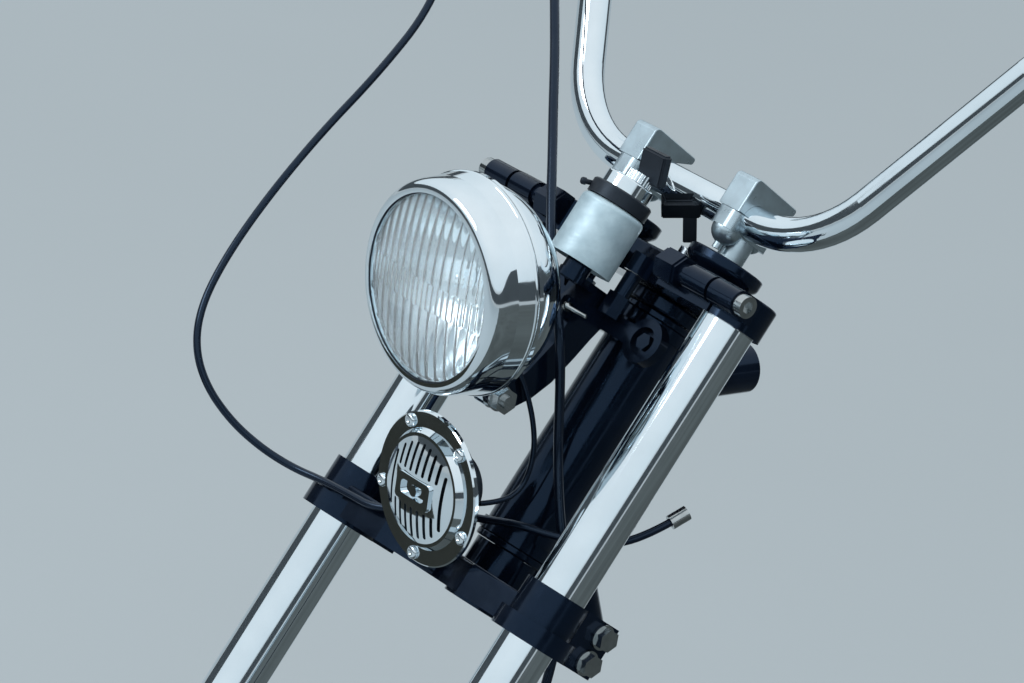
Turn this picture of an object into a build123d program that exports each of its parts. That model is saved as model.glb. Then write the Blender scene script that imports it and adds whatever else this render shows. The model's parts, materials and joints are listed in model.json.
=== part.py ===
from build123d import *

import os
from math import cos, pi, radians, sin, sqrt, tan

# Front end of a custom motorcycle: the frame's steering head with the stubs of its
# tubes, and all that steers on it, which is the fork, lamp, horn, switch, handlebar,
# controls and cables. X is sideways with the rider's left positive, the front faces -Y
# and Z is up. The origin is the middle of the backbone tube's open end.
# Places near the steering axis are given as (side, ahead, up): sideways, ahead of the
# axis and up along it, with up = 0 a little below the backbone.

SIDES = (("left", 1), ("right", -1))

# Clearances
SEAT_GAP = 0.3  # between pieces that sit on each other
RUNNING_GAP = 0.05  # stem in its bearings, on the radius
TUBE_GAP = 0.1  # fork tube in its clamps and slider, on the radius
HOSE_GAP = 0.3  # cable or hose against its fitting

# Steering head and frame stubs
RAKE = 32.0  # steering axis leans back from upright
BACKBONE_R = 19.0
BACKBONE_WALL = 3.0
BACKBONE_REACH = 122.0  # from the steering axis to the open end
BACKBONE_UP = 8.0
BACKBONE_BORE = 66.0
DOWNTUBE_R = 16.0
DOWNTUBE_WALL = 3.0
DOWNTUBE_LENGTH = 132.0
DOWNTUBE_UP = -72.0
DOWNTUBE_SPLAY = 12.0  # out from the middle
DOWNTUBE_SLOPE = 13.0  # back from straight down
DOWNTUBE_BORE = 60.0
GUSSET_THICK = 6.0
GUSSET_REACH = 70.0
GUSSET_DROP = 62.0
NECK_R = 27.0
NECK_BORE_R = 23.0
NECK_COLLAR_R = 29.5
NECK_COLLAR_TALL = 9.0

# Fork clamps
STEM_R = 12.7
FORK_SIDE = 114.0
FORK_AHEAD = 53.0
FORK_R = 20.5
RING_WALL = 4.6
UPPER_UP = 79.5  # underside of the upper clamp
UPPER_TALL = 25.5
CLAMP_GAP = 220.0
LOWER_TALL = 41.0
LOWER_WEB_TALL = 24.0
STEM_BOSS_R = 26.0
LOWER_BOSS_TALL = 5.0
LOWER_WEB_RISE = 3.0  # the web starts this far over the rings' underside
LOWER_WEB_IN = 4.0  # and is this much narrower
LOWER_BAND_TALL = 15.0
LOWER_BAND_OUT = 5.0  # band round the foot of each ring
UPPER_SCOOP_R = 75.0
UPPER_SCOOP_AHEAD = 52.1  # deepest point of the scoop
LOWER_SCOOP_R = 92.0
LOWER_SCOOP_AHEAD = 60.1
CLAMP_EDGE_R = 2.0
SLIT = 3.0
UPPER_BOSS_AHEAD = 82.0
UPPER_BOSS_UP = 94.5
UPPER_BOSS_R = 9.5
UPPER_BOSS_IN = 88.0  # inner and outer ends of the pinch boss, sideways
UPPER_BOSS_OUT = 141.0
UPPER_BLOCK_R = 13.0
UPPER_BLOCK_IN = 58.0  # block inside the pinch boss
UPPER_BLOCK_OUT = 80.0
UPPER_BLOCK_EDGE = 2.5
UPPER_LINK_R = 7.5
PINCH_HEAD_R = 8.0
PINCH_KEY_R = 4.6
EAR_AHEAD = 15.0
EAR_DEEP = 24.0
EAR_IN = 98.0
EAR_OUT = 135.0
EAR_BOLT_STEP = 21.0
EAR_WASHER_R = 9.5
EAR_HEAD_R = 8.6
WASHER_THICK = 2.0
EAR_HEAD_THICK = 6.5

# Stem bearings and top nut
CUP_R = 28.5
CUP_LIP = 6.0
CUP_DEPTH = 16.0
ADJUSTER_R = 29.0
ADJUSTER_EDGE = 2.0
ADJUSTER_TALL = 11.0
STEM_NUT_R = 16.0
STEM_NUT_TALL = 13.0

# Fork legs
TUBE_TOP_UP = 100.0
SLIDER_TOP_UP = -352.0
AXLE_UP = -700.0
SLIDER_SOCKET = 66.0
SLIDER_R = 26.0
SLIDER_LOW_R = 23.5
SLIDER_COLLAR_R = 28.5
SLIDER_COLLAR_TALL = 24.0
SLIDER_COLLAR_STEP = 6.0
SLIDER_EDGE_R = 2.0
SLIDER_BLEND_R = 60.0
SEAL_R = 27.0
SEAL_TALL = 16.0
AXLE_R = 10.0  # bore for the wheel's axle
AXLE_LUG_R = 24.0
AXLE_LUG_THICK = 50.0

# Brake caliper
BRAKE_SIGN = 1
DISC_SIDE = 74.0
DISC_SLOT = 7.0
DISC_R = 148.0
CALIPER_IN = 52.0
CALIPER_OUT = 98.0
CALIPER_AHEAD = -19.0
CALIPER_UP = -604.0
CALIPER_TURN = 45.0
CALIPER_LONG = 88.0
CALIPER_DEEP = 56.0
CALIPER_ROUND = 14.0
CALIPER_PLATE = 9.0
CALIPER_BOLT_AHEAD = 14.0
MOUNT_EDGE = 10.0  # slider's plate for the caliper, past the bolts
MOUNT_HIGH = 30.0
MOUNT_LOW = 36.0
MOUNT_SLOPE = 14.0
PISTON_R = 17.0
PISTON_STEP = 42.0
PISTON_OUT = 4.0
CALIPER_EDGE_R = 3.0
BANJO_AHEAD = -28.0
BANJO_UP = -560.0
BANJO_R = 9.0
BANJO_WIDE = 12.0
BANJO_HOSE_GAP = 28.0  # from the hose's lower end to its eye
FERRULE_R = 5.5
CABLE_SEAT = 2.4  # the cable's sleeves reach past its ends
FERRULE_GRIP = 12.0  # how far a ferrule reaches over its cord

# Risers and handlebar
RISER_SIDE = 57.0
RISER_AHEAD = 28.0
CUP_BASE_R = 24.0
CUP_RIM_R = 29.5
CUP_RIM_TALL = 6.0
CUP_RIM_WALL = 3.0
RISER_CUP_TALL = 16.5
POST_R = 10.5
RISER_WIDE = 22.5
BAR_R = 12.7
BAR_AHEAD = 38.5
BAR_UP = 153.5
HOLDER_FRONT = 57.5
HOLDER_REAR = 9.0
HOLDER_LOW_UP = 140.0  # underside between the two lobes
HOLDER_CORNER_R = 7.0
HOLDER_UNDER = 4.0  # the lobes run this far into the holder
LOBES = ((46.3, 11.2, 128.5), (19.5, 9.5, 134.0))  # ahead, radius and lowest point of each
RISER_SCREW_R = 3.2
RISER_SCREW_OUT = 4.0
RISER_TOP_UP = 181.5
RISER_TOP_FALL = 2.0  # the cap's top falls this much towards its tail
RISER_TAIL_TALL = 5.0
RISER_TAIL_OUT = 2.0  # tail of the cap past the holder
RISER_TAIL_ROOT = 15.0  # where the tail leaves the ring round the bar
RISER_TAIL_WALL = 4.0
RISER_NOSE_R = 4.0
RISER_EDGE_R = 2.2
BAR_CORNER_SIDE = 130.0
BAR_BEND_R = 95.0
LEG_SPLAY = 30.4  # handlebar legs lean out from the steering axis
LEG_LEAN = 6.1  # and ahead of it
LEG_LENGTH = 240.0
GRIP_PULL = 33.0  # grips point back from straight sideways
GRIP_DROOP = 11.5
GRIP_RUN = 226.0
GRIP_BEND_R = 58.0

# Controls, by their distance along the grip from the bar's upper corner
PERCH_AT = 42.0
PERCH_LONG = 18.0
HOUSING_AT = 64.0
HOUSING_LONG = 30.0
GRIP_AT = 96.0
GRIP_R = 16.5
GRIP_FLANGE_R = 21.0
GRIP_FLANGE_THICK = 4.0
GRIP_END_THICK = 5.0
GRIP_RIBS = 11
GRIP_RIB_WIDE = 5.0
GRIP_RIB_OUT = 1.2
HOUSING_R = 21.0
HOUSING_EDGE_R = 1.6
PERCH_R = 17.5
LEVER_PIVOT_AHEAD = 38.0
LEVER_REACH = 62.0
LEVER_END = 214.0
LEVER_THICK = 9.0
LEVER_WIDE = 15.0
LEVER_SWELL = 6.0
LEVER_TIP_R = 4.5
LEVER_EDGE = 1.5
LEVER_BALL_R = 8.5
RESERVOIR = (28.0, 28.0, 24.0)
RESERVOIR_FROM = 13.0
RESERVOIR_EDGE_R = 5.0
RESERVOIR_LID = 4.0
MASTER_AHEAD = 31.0
MASTER_R = 10.0
MASTER_FROM = 12.0
MIRROR_HOLE_R = 4.0
MIRROR_HOLE_DEPTH = 14.0
MIRROR_HOLE_AHEAD = 27.0

# Lamp
LAMP_AHEAD = 179.6  # middle of the rim's widest circle
LAMP_UP = 6.5
LENS_R = 66.0
LENS_BEFORE = 35.0
LENS_CROWN = 9.0
RIM_OUT = 12.5  # the rim's widest circle past the lens
RIM_BARREL_BEFORE = 13.0  # the rim is nearly straight up to here
RIM_BARREL_IN = 1.8
RIM_LIP = 6.0
RIM_WALL = 2.5
BEAD_OUT = 0.9  # bead at the back of the rim
BEAD_TALL = 3.0
LENS_THICK = 4.0
GLASS_GAP = 0.4
BOWL_IN = 4.5  # the bowl is this much smaller than the rim
BOWL_DEPTH = 55.0
BOWL_FRONT = 4.0  # the bowl's front lies this far behind the rim's widest circle
BOWL_WALL = 1.6
ROUND_PULL = 0.5523  # handles of a curve that follows a quarter of an ellipse
REFLECTOR_DEPTH = 54.0
REFLECTOR_HOLE_R = 15.0
REFLECTOR_THICK = 1.6
HOLDER_THICK = 3.0
BULB_R = 6.5
BULB_LONG = 26.0
LAMP_BOLT_AHEAD = 103.5
LAMP_BOLT_UP = -46.9
LAMP_BOLT_R = 5.0
LAMP_NUT_R = 9.8
LAMP_NUT_THICK = 7.0
BOLT_POINT = 3.0  # the bolt's thread stands out past its nut
LUG_WIDE = 11.4
LUG_R = 10.0
LUG_REACH = 27.0
LUG_TURN = 39.1  # the lug points at the bowl's middle
ARM_HALF = 11.0
ARM_END_R = 10.0
ARM_FRONT = ((94, -24), (86, 6), (85, 38), (76, 56))  # corners (ahead, up) from the bolt up
ARM_BACK = ((57, 24), (61, 6), (67, -17), (76, -35), (90, -52))
ARM_ROUNDS = (9, 9, 12, 12, 8, 4, 3, 8, 12, 12, 12, 12)
PLATE_AHEAD = 58.0  # front face of the bracket's upright plate
PLATE_THICK = 9.0
PLATE_EYE_SIDE = 56.0
PLATE_EYE_UP = 41.0
PLATE_EYE_R = 17.0
EYE_RECESS_R = 10.5
EYE_RECESS_DEPTH = 5.0
EYE_BOLT_R = 6.5
WING_TALL = 15.0
WING_R = 17.0
WING_CLEAR_R = 33.0  # round the neck's bearing, which stays still
SHELF_HALF = 10.0  # shelf under the ignition switch
SHELF_UP = 51.0
SHELF_TALL = 6.0
SHELF_DISC_R = 11.0
COLUMN_SIDE = 20.0
COLUMN_AHEAD = 64.0
COLUMN_R = 6.0
COLUMN_LUG_R = 8.5
COLUMN_TOP_UP = 94.0
COLUMN_FOOT_R = 9.0
COLUMN_FOOT = (44.0, 61.0)

# Horn
HORN_AHEAD = 102.0
HORN_UP = -126.8
HORN_R = 56.0
HORN_STEP_R = 44.0
HORN_LEDGE_R = 41.0
HORN_DOME_R = 38.5
HORN_FLANGE = 4.0
HORN_STEP = 5.0
HORN_CROWN = 6.5
HORN_WALL = 1.8
SLOT_PITCH = 7.06
SLOT_WIDE = 2.9
SLOT_COLUMNS = 9
SLOT_INNER = 12.5  # slots start this far from the middle
SLOT_REACH_R = 35.0
WINDOW = (38.0, 20.0, 27.0, 10.5)  # outer and inner sides of the frame in the middle
WINDOW_ROUND = 3.5
WINDOW_DEEP = 4.1  # from the dome's top down to the back of the window's plate
WINDOW_RISE = 0.6
BUTTON_R = 5.0
HORN_BODY_R = 44.0
HORN_BODY_DEEP = 10.0
HORN_MAGNET_R = 22.0
HORN_MAGNET_DEEP = 20.0
STRAP_WIDE = 18.0
STRAP_THICK = 3.0
STRAP_RISE = 12.0  # past the middle of the horn's back

# Ignition switch
SWITCH_AHEAD = 96.0
COVER_R = 24.8
COVER_LOW_UP = 64.0
COVER_HIGH_UP = 112.0
COVER_WALL = 2.0
COVER_SHOULDER = 4.5
SWITCH_RING_TALL = 11.0
SWITCH_RING_IN = 1.2  # ring is this much smaller than the cover
SWITCH_CAP_R = 18.5
SWITCH_CAP_TALL = 10.0
SWITCH_CAP_EDGE_R = 1.5
KNURL_R = 10.5
KNURL_BACK = 5.0
KNURL_POINTS = 24
KNURL_DEEP = 0.8
KNURL_TALL = 8.0
SWITCH_BODY_R = 20.0
SWITCH_BODY_IN = 4.0  # up inside the cover

# Cables, each by the points of its route as (side, ahead, up). A start is measured
# from the right upper corner of the handlebar, and the rest from the steering axis.
CABLE_R = 2.9
CABLE_START = (
    (-65.6, -38.5, -15.3),
    (-69.6, -36.5, -33.3),
    (-75.6, -23.5, -53.3),
    (-79.6, -2.5, -71.3),
)
CABLE_ROUTE = (
    (-327, 78, 264),
    (-309, 91, 236),
    (-280, 97, 180),
    (-264, 120, 115),
    (-257, 143, 50),
    (-248, 161, -14),
    (-237, 173, -66),
    (-225, 178, -104),
    (-212, 173, -131),
    (-198, 157, -150),
    (-181, 134, -162),
    (-162, 112, -167),
    (-141, 94, -167),
    (-114, 86, -163),
    (-84, 85, -161),
    (-58, 83, -160),
    (-40, 75, -149),
    (-22, 61, -137),
    (4, 48, -126),
    (34, 43, -115),
    (60, 28, -108),
    (84, 10, -96),
    (98, -8, -75),
    (104, -23, -46),
)
HOSE_R = 3.6
HOSE_START = (
    (-20.6, 14.5, -31.3),
    (-18.6, 12.5, -47.3),
)
HOSE_ROUTE = (
    (-259, 76, 298),
    (-240, 80, 284),
    (-218, 84, 266),
    (-195, 88, 245),
    (-168, 92, 219),
    (-138, 94, 187),
    (-108, 97, 154),
    (-80, 99, 123),
    (-56, 100, 95),
    (-36, 100, 72),
    (-17, 97.5, 48.5),
    (15, 104, 27),
    (22, 86, 3),
    (21, 63, -22),
    (26, 44, -51),
    (40, 28, -84),
    (57, 10, -116),
    (67, -8, -150),
    (74, -24, -190),
    (80, -34, -236),
    (85, -38, -286),
    (88, -38, -338),
    (88, -36, -390),
    (87, -33, -440),
    (86, -30, -486),
    (85, -28, -526),
)
WIRE_R = 2.0
WIRE_ROUTE = (
    (11.5, 115.6, -17.2),
    (12.5, 108, -21),
    (14.5, 95, -28),
    (16.5, 82, -37),
    (18.5, 69, -48),
    (20, 57, -61),
    (21, 49, -76),
    (21.5, 46, -92),
    (20, 53, -107),
    (17, 69, -117),
)

STEER = Vector(0, sin(radians(RAKE)), cos(radians(RAKE)))
AHEAD = Vector(0, -cos(radians(RAKE)), sin(radians(RAKE)))
HEAD = Vector(0, -BACKBONE_REACH, 0) - STEER * BACKBONE_UP

LOWER_UP = UPPER_UP - CLAMP_GAP - LOWER_TALL
LOWER_TOP_UP = LOWER_UP + LOWER_TALL
UPPER_TOP_UP = UPPER_UP + UPPER_TALL
RING_R = FORK_R + RING_WALL
RIM_R = LENS_R + RIM_OUT
BOWL_R = RIM_R - BOWL_IN
NECK_LOW_UP = LOWER_TOP_UP + LOWER_BOSS_TALL + SEAT_GAP + CUP_LIP
NECK_HIGH_UP = UPPER_UP - ADJUSTER_TALL - 2 * SEAT_GAP - CUP_LIP


def spot(side=0.0, ahead=0.0, up=0.0):
    """Point given in the steering frame."""
    return HEAD + Vector(side, 0, 0) + AHEAD * ahead + STEER * up


def across(side=0.0, ahead=0.0, up=0.0):
    """Plane square to the steering axis: local x sideways, local y back."""
    return Plane(spot(side, ahead, up), x_dir=(1, 0, 0), z_dir=STEER)


def facing(side=0.0, ahead=0.0, up=0.0):
    """Plane that faces ahead: local x sideways, local y up the steering axis."""
    return Plane(spot(side, ahead, up), x_dir=(1, 0, 0), z_dir=AHEAD)


def beside(side=0.0, ahead=0.0, up=0.0):
    """Plane that faces the rider's right: local x ahead, local y up the axis."""
    return Plane(spot(side, ahead, up), x_dir=AHEAD, z_dir=(-1, 0, 0))


def level_front(ahead, up):
    """Plane through a point of the middle: local x sideways, local y level ahead."""
    return Plane(spot(0, ahead, up), x_dir=(1, 0, 0), z_dir=(0, 0, -1))


def level_face(ahead, up, before=0.0):
    """Upright plane that faces ahead: local x sideways, local y up."""
    return Plane(spot(0, ahead, up) - Vector(0, before, 0), x_dir=(1, 0, 0), z_dir=(0, -1, 0))


def crown_height(edge_r, rise, at_r):
    """Height over its edge of a round crown whose centre lies on the axis."""
    ball = (edge_r**2 + rise**2) / (2 * rise)
    return sqrt(ball**2 - at_r**2) - (ball - rise)


def save(piece, label):
    """Name a finished piece and write its file."""
    piece.part.label = label
    export_step(piece.part, f"parts/{label}.step")


os.makedirs("parts", exist_ok=True)

# Steering head: neck, backbone stub, two downtube stubs and the gusset between them
backbone_plane = Plane((0, 0, 0), x_dir=(1, 0, 0), z_dir=(0, -1, 0))


def downtube_plane(sign):
    """Open end of a downtube: local z points up the tube to the neck."""
    splay = radians(DOWNTUBE_SPLAY)
    slope = radians(DOWNTUBE_SLOPE)
    down = Vector(sign * sin(splay), cos(splay) * sin(slope), -cos(splay) * cos(slope))
    return Plane(spot(0, 0, DOWNTUBE_UP) + down * DOWNTUBE_LENGTH, z_dir=-down)


with BuildPart() as steering_head:
    with BuildSketch(across(up=NECK_LOW_UP)):
        Circle(NECK_R)
    extrude(amount=NECK_HIGH_UP - NECK_LOW_UP)
    for collar_up in (NECK_LOW_UP, NECK_HIGH_UP - NECK_COLLAR_TALL):
        with BuildSketch(across(up=collar_up)):
            Circle(NECK_COLLAR_R)
        extrude(amount=NECK_COLLAR_TALL)
    with BuildSketch(backbone_plane):
        Circle(BACKBONE_R)
    extrude(amount=BACKBONE_REACH)
    for _, sign in SIDES:
        with BuildSketch(downtube_plane(sign)):
            Circle(DOWNTUBE_R)
        extrude(amount=DOWNTUBE_LENGTH)
    neck_back = spot(0, 0, DOWNTUBE_UP)
    with BuildSketch(Plane.YZ):
        with BuildLine():
            Polyline(
                (-BACKBONE_REACH, 0),
                (-BACKBONE_REACH + GUSSET_REACH, 0),
                (neck_back.Y + GUSSET_REACH / 2, neck_back.Z - GUSSET_DROP / 2),
                (neck_back.Y, neck_back.Z),
                close=True,
            )
        make_face()
    extrude(amount=GUSSET_THICK / 2, both=True)
    with BuildSketch(across(up=NECK_LOW_UP)):
        Circle(NECK_BORE_R)
    extrude(amount=NECK_HIGH_UP - NECK_LOW_UP, mode=Mode.SUBTRACT)
    with BuildSketch(backbone_plane):
        Circle(BACKBONE_R - BACKBONE_WALL)
    extrude(amount=BACKBONE_BORE, mode=Mode.SUBTRACT)
    for _, sign in SIDES:
        with BuildSketch(downtube_plane(sign)):
            Circle(DOWNTUBE_R - DOWNTUBE_WALL)
        extrude(amount=DOWNTUBE_BORE, mode=Mode.SUBTRACT)
save(steering_head, "steering_head")

# Stem bearings, each a cup pressed into the neck with the stem running in it
for label, base_up, away in (
    ("lower_bearing", NECK_LOW_UP, -1),
    ("upper_bearing", NECK_HIGH_UP, 1),
):
    with BuildPart() as bearing:
        with BuildSketch(across(up=base_up)):
            Circle(CUP_R)
            Circle(STEM_R + RUNNING_GAP, mode=Mode.SUBTRACT)
        extrude(amount=away * CUP_LIP)
        with BuildSketch(across(up=base_up)):
            Circle(NECK_BORE_R)
            Circle(STEM_R + RUNNING_GAP, mode=Mode.SUBTRACT)
        extrude(amount=-away * CUP_DEPTH)
        lip_edges = bearing.edges().filter_by(GeomType.CIRCLE).group_by(SortBy.RADIUS)[-1]
        fillet(lip_edges, CUP_LIP / 4)
    save(bearing, label)


def clamp_outline(up, tall, ring_r, scoop_r, scoop_ahead):
    """Web from the stem to both fork tubes, scooped out at the front."""
    with BuildSketch(across(up=up)) as outline:
        Circle(STEM_BOSS_R)
        with Locations((FORK_SIDE, -FORK_AHEAD), (-FORK_SIDE, -FORK_AHEAD)):
            Circle(ring_r)
        make_hull()
        with Locations((0, -(scoop_ahead + scoop_r))):
            Circle(scoop_r, mode=Mode.SUBTRACT)
    extrude(outline.sketch, amount=tall)


def fork_bores(up, tall):
    """Holes for both fork tubes."""
    with BuildSketch(across(up=up)) as holes:
        with Locations((FORK_SIDE, -FORK_AHEAD), (-FORK_SIDE, -FORK_AHEAD)):
            Circle(FORK_R + TUBE_GAP)
    extrude(holes.sketch, amount=tall, mode=Mode.SUBTRACT)


# Lower clamp with the stem that turns in the neck
with BuildPart() as lower_clamp:
    web_low_up = LOWER_UP + LOWER_WEB_RISE
    web_ring_r = RING_R - LOWER_WEB_IN
    clamp_outline(web_low_up, LOWER_WEB_TALL, web_ring_r, LOWER_SCOOP_R, LOWER_SCOOP_AHEAD)
    fillet(lower_clamp.edges().group_by(Axis(spot(), STEER))[-1], CLAMP_EDGE_R)
    with BuildSketch(across(up=LOWER_UP)):
        with Locations((FORK_SIDE, -FORK_AHEAD), (-FORK_SIDE, -FORK_AHEAD)):
            Circle(RING_R + LOWER_BAND_OUT)
    extrude(amount=LOWER_BAND_TALL)
    with BuildSketch(across(up=LOWER_UP)):
        with Locations((FORK_SIDE, -FORK_AHEAD), (-FORK_SIDE, -FORK_AHEAD)):
            Circle(RING_R)
        for _, sign in SIDES:
            with Locations((sign * (EAR_IN + EAR_OUT) / 2, -EAR_AHEAD - EAR_DEEP / 4)):
                Rectangle(EAR_OUT - EAR_IN, EAR_DEEP * 1.5)
    extrude(amount=LOWER_TALL)
    with BuildSketch(across(up=LOWER_UP)):
        Circle(STEM_BOSS_R)
    extrude(amount=LOWER_TALL + LOWER_BOSS_TALL)
    fork_bores(LOWER_UP, LOWER_TALL)
    with BuildSketch(across(up=LOWER_UP)):
        for _, sign in SIDES:
            with Locations((sign * (EAR_IN + EAR_OUT) / 2, -EAR_AHEAD + EAR_DEEP / 2)):
                Rectangle(SLIT, EAR_DEEP * 2)
    extrude(amount=LOWER_TALL, mode=Mode.SUBTRACT)
    with BuildSketch(across(up=LOWER_UP)):
        Circle(STEM_R)
    extrude(amount=UPPER_TOP_UP - LOWER_UP + SEAT_GAP)
save(lower_clamp, "lower_clamp")

# Upper clamp, its pinch bosses in front of the fork tubes
with BuildPart() as upper_clamp:
    clamp_outline(UPPER_UP, UPPER_TALL, RING_R, UPPER_SCOOP_R, UPPER_SCOOP_AHEAD)
    fillet(upper_clamp.edges().group_by(Axis(spot(), STEER))[-1], CLAMP_EDGE_R)
    for _, sign in SIDES:
        with BuildSketch(beside(sign * UPPER_BOSS_IN, UPPER_BOSS_AHEAD, UPPER_BOSS_UP)):
            Circle(UPPER_BOSS_R)
            with Locations((-UPPER_BOSS_R, 0)):
                Rectangle(2 * UPPER_BOSS_R, 2 * UPPER_BOSS_R)
        extrude(amount=-sign * (UPPER_BOSS_OUT - UPPER_BOSS_IN))
        with BuildSketch(beside(sign * UPPER_BLOCK_IN, UPPER_BOSS_AHEAD, UPPER_BOSS_UP)):
            Circle(UPPER_LINK_R)
        extrude(amount=-sign * (UPPER_BOSS_OUT - UPPER_BLOCK_IN) / 2)
        block_long = UPPER_BLOCK_OUT - UPPER_BLOCK_IN
        with BuildSketch(beside(sign * UPPER_BLOCK_IN, UPPER_BOSS_AHEAD, UPPER_BOSS_UP)):
            RegularPolygon(UPPER_BLOCK_R - UPPER_BLOCK_EDGE / 2, 6)
        extrude(amount=-sign * block_long)
        block_from = sign * (UPPER_BLOCK_IN + UPPER_BLOCK_EDGE)
        with BuildSketch(beside(block_from, UPPER_BOSS_AHEAD, UPPER_BOSS_UP)):
            RegularPolygon(UPPER_BLOCK_R, 6)
        extrude(amount=-sign * (block_long - 2 * UPPER_BLOCK_EDGE))
        with BuildSketch(across(up=UPPER_UP)):
            lug_side = sign * COLUMN_SIDE
            with Locations((lug_side, -COLUMN_AHEAD), (lug_side, -FORK_AHEAD / 2)):
                Circle(COLUMN_LUG_R)
            make_hull()
        extrude(amount=COLUMN_TOP_UP - UPPER_UP)
    fork_bores(UPPER_UP, UPPER_TALL)
    with BuildSketch(across(up=UPPER_UP)):
        for _, sign in SIDES:
            with Locations((sign * FORK_SIDE, -UPPER_BOSS_AHEAD)):
                Rectangle(SLIT, 2 * (UPPER_BOSS_AHEAD - FORK_AHEAD))
        Circle(STEM_R + SEAT_GAP)
    extrude(amount=UPPER_TALL, mode=Mode.SUBTRACT)
save(upper_clamp, "upper_clamp")

# Bearing adjuster and the nut on top of the stem
with BuildPart() as stem_adjuster:
    with BuildSketch(across(up=NECK_HIGH_UP + CUP_LIP + SEAT_GAP)):
        Circle(ADJUSTER_R)
        Circle(STEM_R + SEAT_GAP, mode=Mode.SUBTRACT)
    extrude(amount=ADJUSTER_TALL)
    top_edges = stem_adjuster.edges().filter_by(GeomType.CIRCLE).group_by(SortBy.RADIUS)[-1]
    fillet(top_edges, ADJUSTER_EDGE)
save(stem_adjuster, "stem_adjuster")

with BuildPart() as stem_nut:
    with BuildSketch(across(up=UPPER_TOP_UP + 2 * SEAT_GAP)):
        Circle(STEM_NUT_R)
    extrude(amount=WASHER_THICK)
    with BuildSketch(across(up=UPPER_TOP_UP + 2 * SEAT_GAP)):
        RegularPolygon(STEM_NUT_R - WASHER_THICK, 6)
    extrude(amount=STEM_NUT_TALL)
save(stem_nut, "stem_nut")

# Fork legs: tube, dust seal, slider
tube_low_up = SLIDER_TOP_UP - SLIDER_SOCKET + SEAT_GAP
for label, sign in SIDES:
    with BuildPart() as fork_tube:
        with BuildSketch(across(sign * FORK_SIDE, FORK_AHEAD, tube_low_up)):
            Circle(FORK_R)
        extrude(amount=TUBE_TOP_UP - SEAT_GAP - tube_low_up)
    save(fork_tube, f"fork_tube_{label}")

    with BuildPart() as slider:
        with BuildSketch(facing(sign * FORK_SIDE, FORK_AHEAD, AXLE_UP)):
            with BuildLine():
                leg = SLIDER_TOP_UP - AXLE_UP
                FilletPolyline(
                    (SLIDER_LOW_R, 0),
                    (SLIDER_LOW_R, leg * 0.45),
                    (SLIDER_R, leg * 0.6),
                    (SLIDER_R, leg - SLIDER_COLLAR_TALL - SLIDER_COLLAR_STEP),
                    (SLIDER_COLLAR_R, leg - SLIDER_COLLAR_TALL),
                    (SLIDER_COLLAR_R, leg),
                    (SLIDER_COLLAR_R - SLIDER_EDGE_R, leg),
                    radius=(SLIDER_BLEND_R, SLIDER_BLEND_R, 8, 4, SLIDER_EDGE_R / 2),
                )
                collar_top = (SLIDER_COLLAR_R - SLIDER_EDGE_R, leg)
                Polyline(collar_top, (0, leg), (0, 0), (SLIDER_LOW_R, 0))
            make_face()
        revolve(axis=Axis(spot(sign * FORK_SIDE, FORK_AHEAD, 0), STEER))
        with BuildSketch(beside(sign * (FORK_SIDE - AXLE_LUG_THICK / 2), FORK_AHEAD, AXLE_UP)):
            Circle(AXLE_LUG_R)
        extrude(amount=-sign * AXLE_LUG_THICK)
        lug_rims = slider.edges().filter_by(GeomType.CIRCLE).filter_by(
            lambda edge: abs(edge.radius - AXLE_LUG_R) < TUBE_GAP
        )
        fillet(lug_rims, SLIDER_EDGE_R)
        with BuildSketch(beside(sign * (FORK_SIDE - AXLE_LUG_THICK), FORK_AHEAD, AXLE_UP)):
            Circle(AXLE_R)
        extrude(amount=-sign * 2 * AXLE_LUG_THICK, mode=Mode.SUBTRACT)
        with BuildSketch(across(sign * FORK_SIDE, FORK_AHEAD, SLIDER_TOP_UP)):
            Circle(FORK_R + TUBE_GAP)
        extrude(amount=-SLIDER_SOCKET, mode=Mode.SUBTRACT)
        if sign == BRAKE_SIGN:
            with BuildSketch(beside(CALIPER_OUT + CALIPER_PLATE + SEAT_GAP, 0, 0)):
                with BuildLine():
                    FilletPolyline(
                        (FORK_AHEAD, CALIPER_UP + MOUNT_HIGH + MOUNT_SLOPE),
                        (CALIPER_BOLT_AHEAD - MOUNT_EDGE, CALIPER_UP + MOUNT_HIGH),
                        (CALIPER_BOLT_AHEAD - MOUNT_EDGE, CALIPER_UP - MOUNT_LOW),
                        (FORK_AHEAD, CALIPER_UP - MOUNT_LOW - MOUNT_SLOPE),
                        radius=(MOUNT_EDGE, MOUNT_EDGE),
                    )
                    Line(
                        (FORK_AHEAD, CALIPER_UP - MOUNT_LOW - MOUNT_SLOPE),
                        (FORK_AHEAD, CALIPER_UP + MOUNT_HIGH + MOUNT_SLOPE),
                    )
                make_face()
            extrude(amount=-CALIPER_PLATE)
    save(slider, f"slider_{label}")

with BuildPart() as dust_seals:
    for _, sign in SIDES:
        with BuildSketch(across(sign * FORK_SIDE, FORK_AHEAD, SLIDER_TOP_UP + SEAT_GAP)):
            Circle(SEAL_R)
            Circle(FORK_R + SEAT_GAP, mode=Mode.SUBTRACT)
        extrude(amount=SEAL_TALL, taper=12)
save(dust_seals, "dust_seals")

# Pinch bolts of both clamps
with BuildPart() as upper_pinch_bolts:
    for _, sign in SIDES:
        head_side = UPPER_BOSS_OUT + SEAT_GAP
        with BuildSketch(beside(sign * head_side, UPPER_BOSS_AHEAD, UPPER_BOSS_UP)):
            Circle(PINCH_HEAD_R)
        extrude(amount=-sign * PINCH_HEAD_R)
        head_side = UPPER_BOSS_OUT + SEAT_GAP + PINCH_HEAD_R
        with BuildSketch(beside(sign * head_side, UPPER_BOSS_AHEAD, UPPER_BOSS_UP)):
            RegularPolygon(PINCH_KEY_R, 6)
        extrude(amount=sign * PINCH_KEY_R, mode=Mode.SUBTRACT)
save(upper_pinch_bolts, "upper_pinch_bolts")

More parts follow.
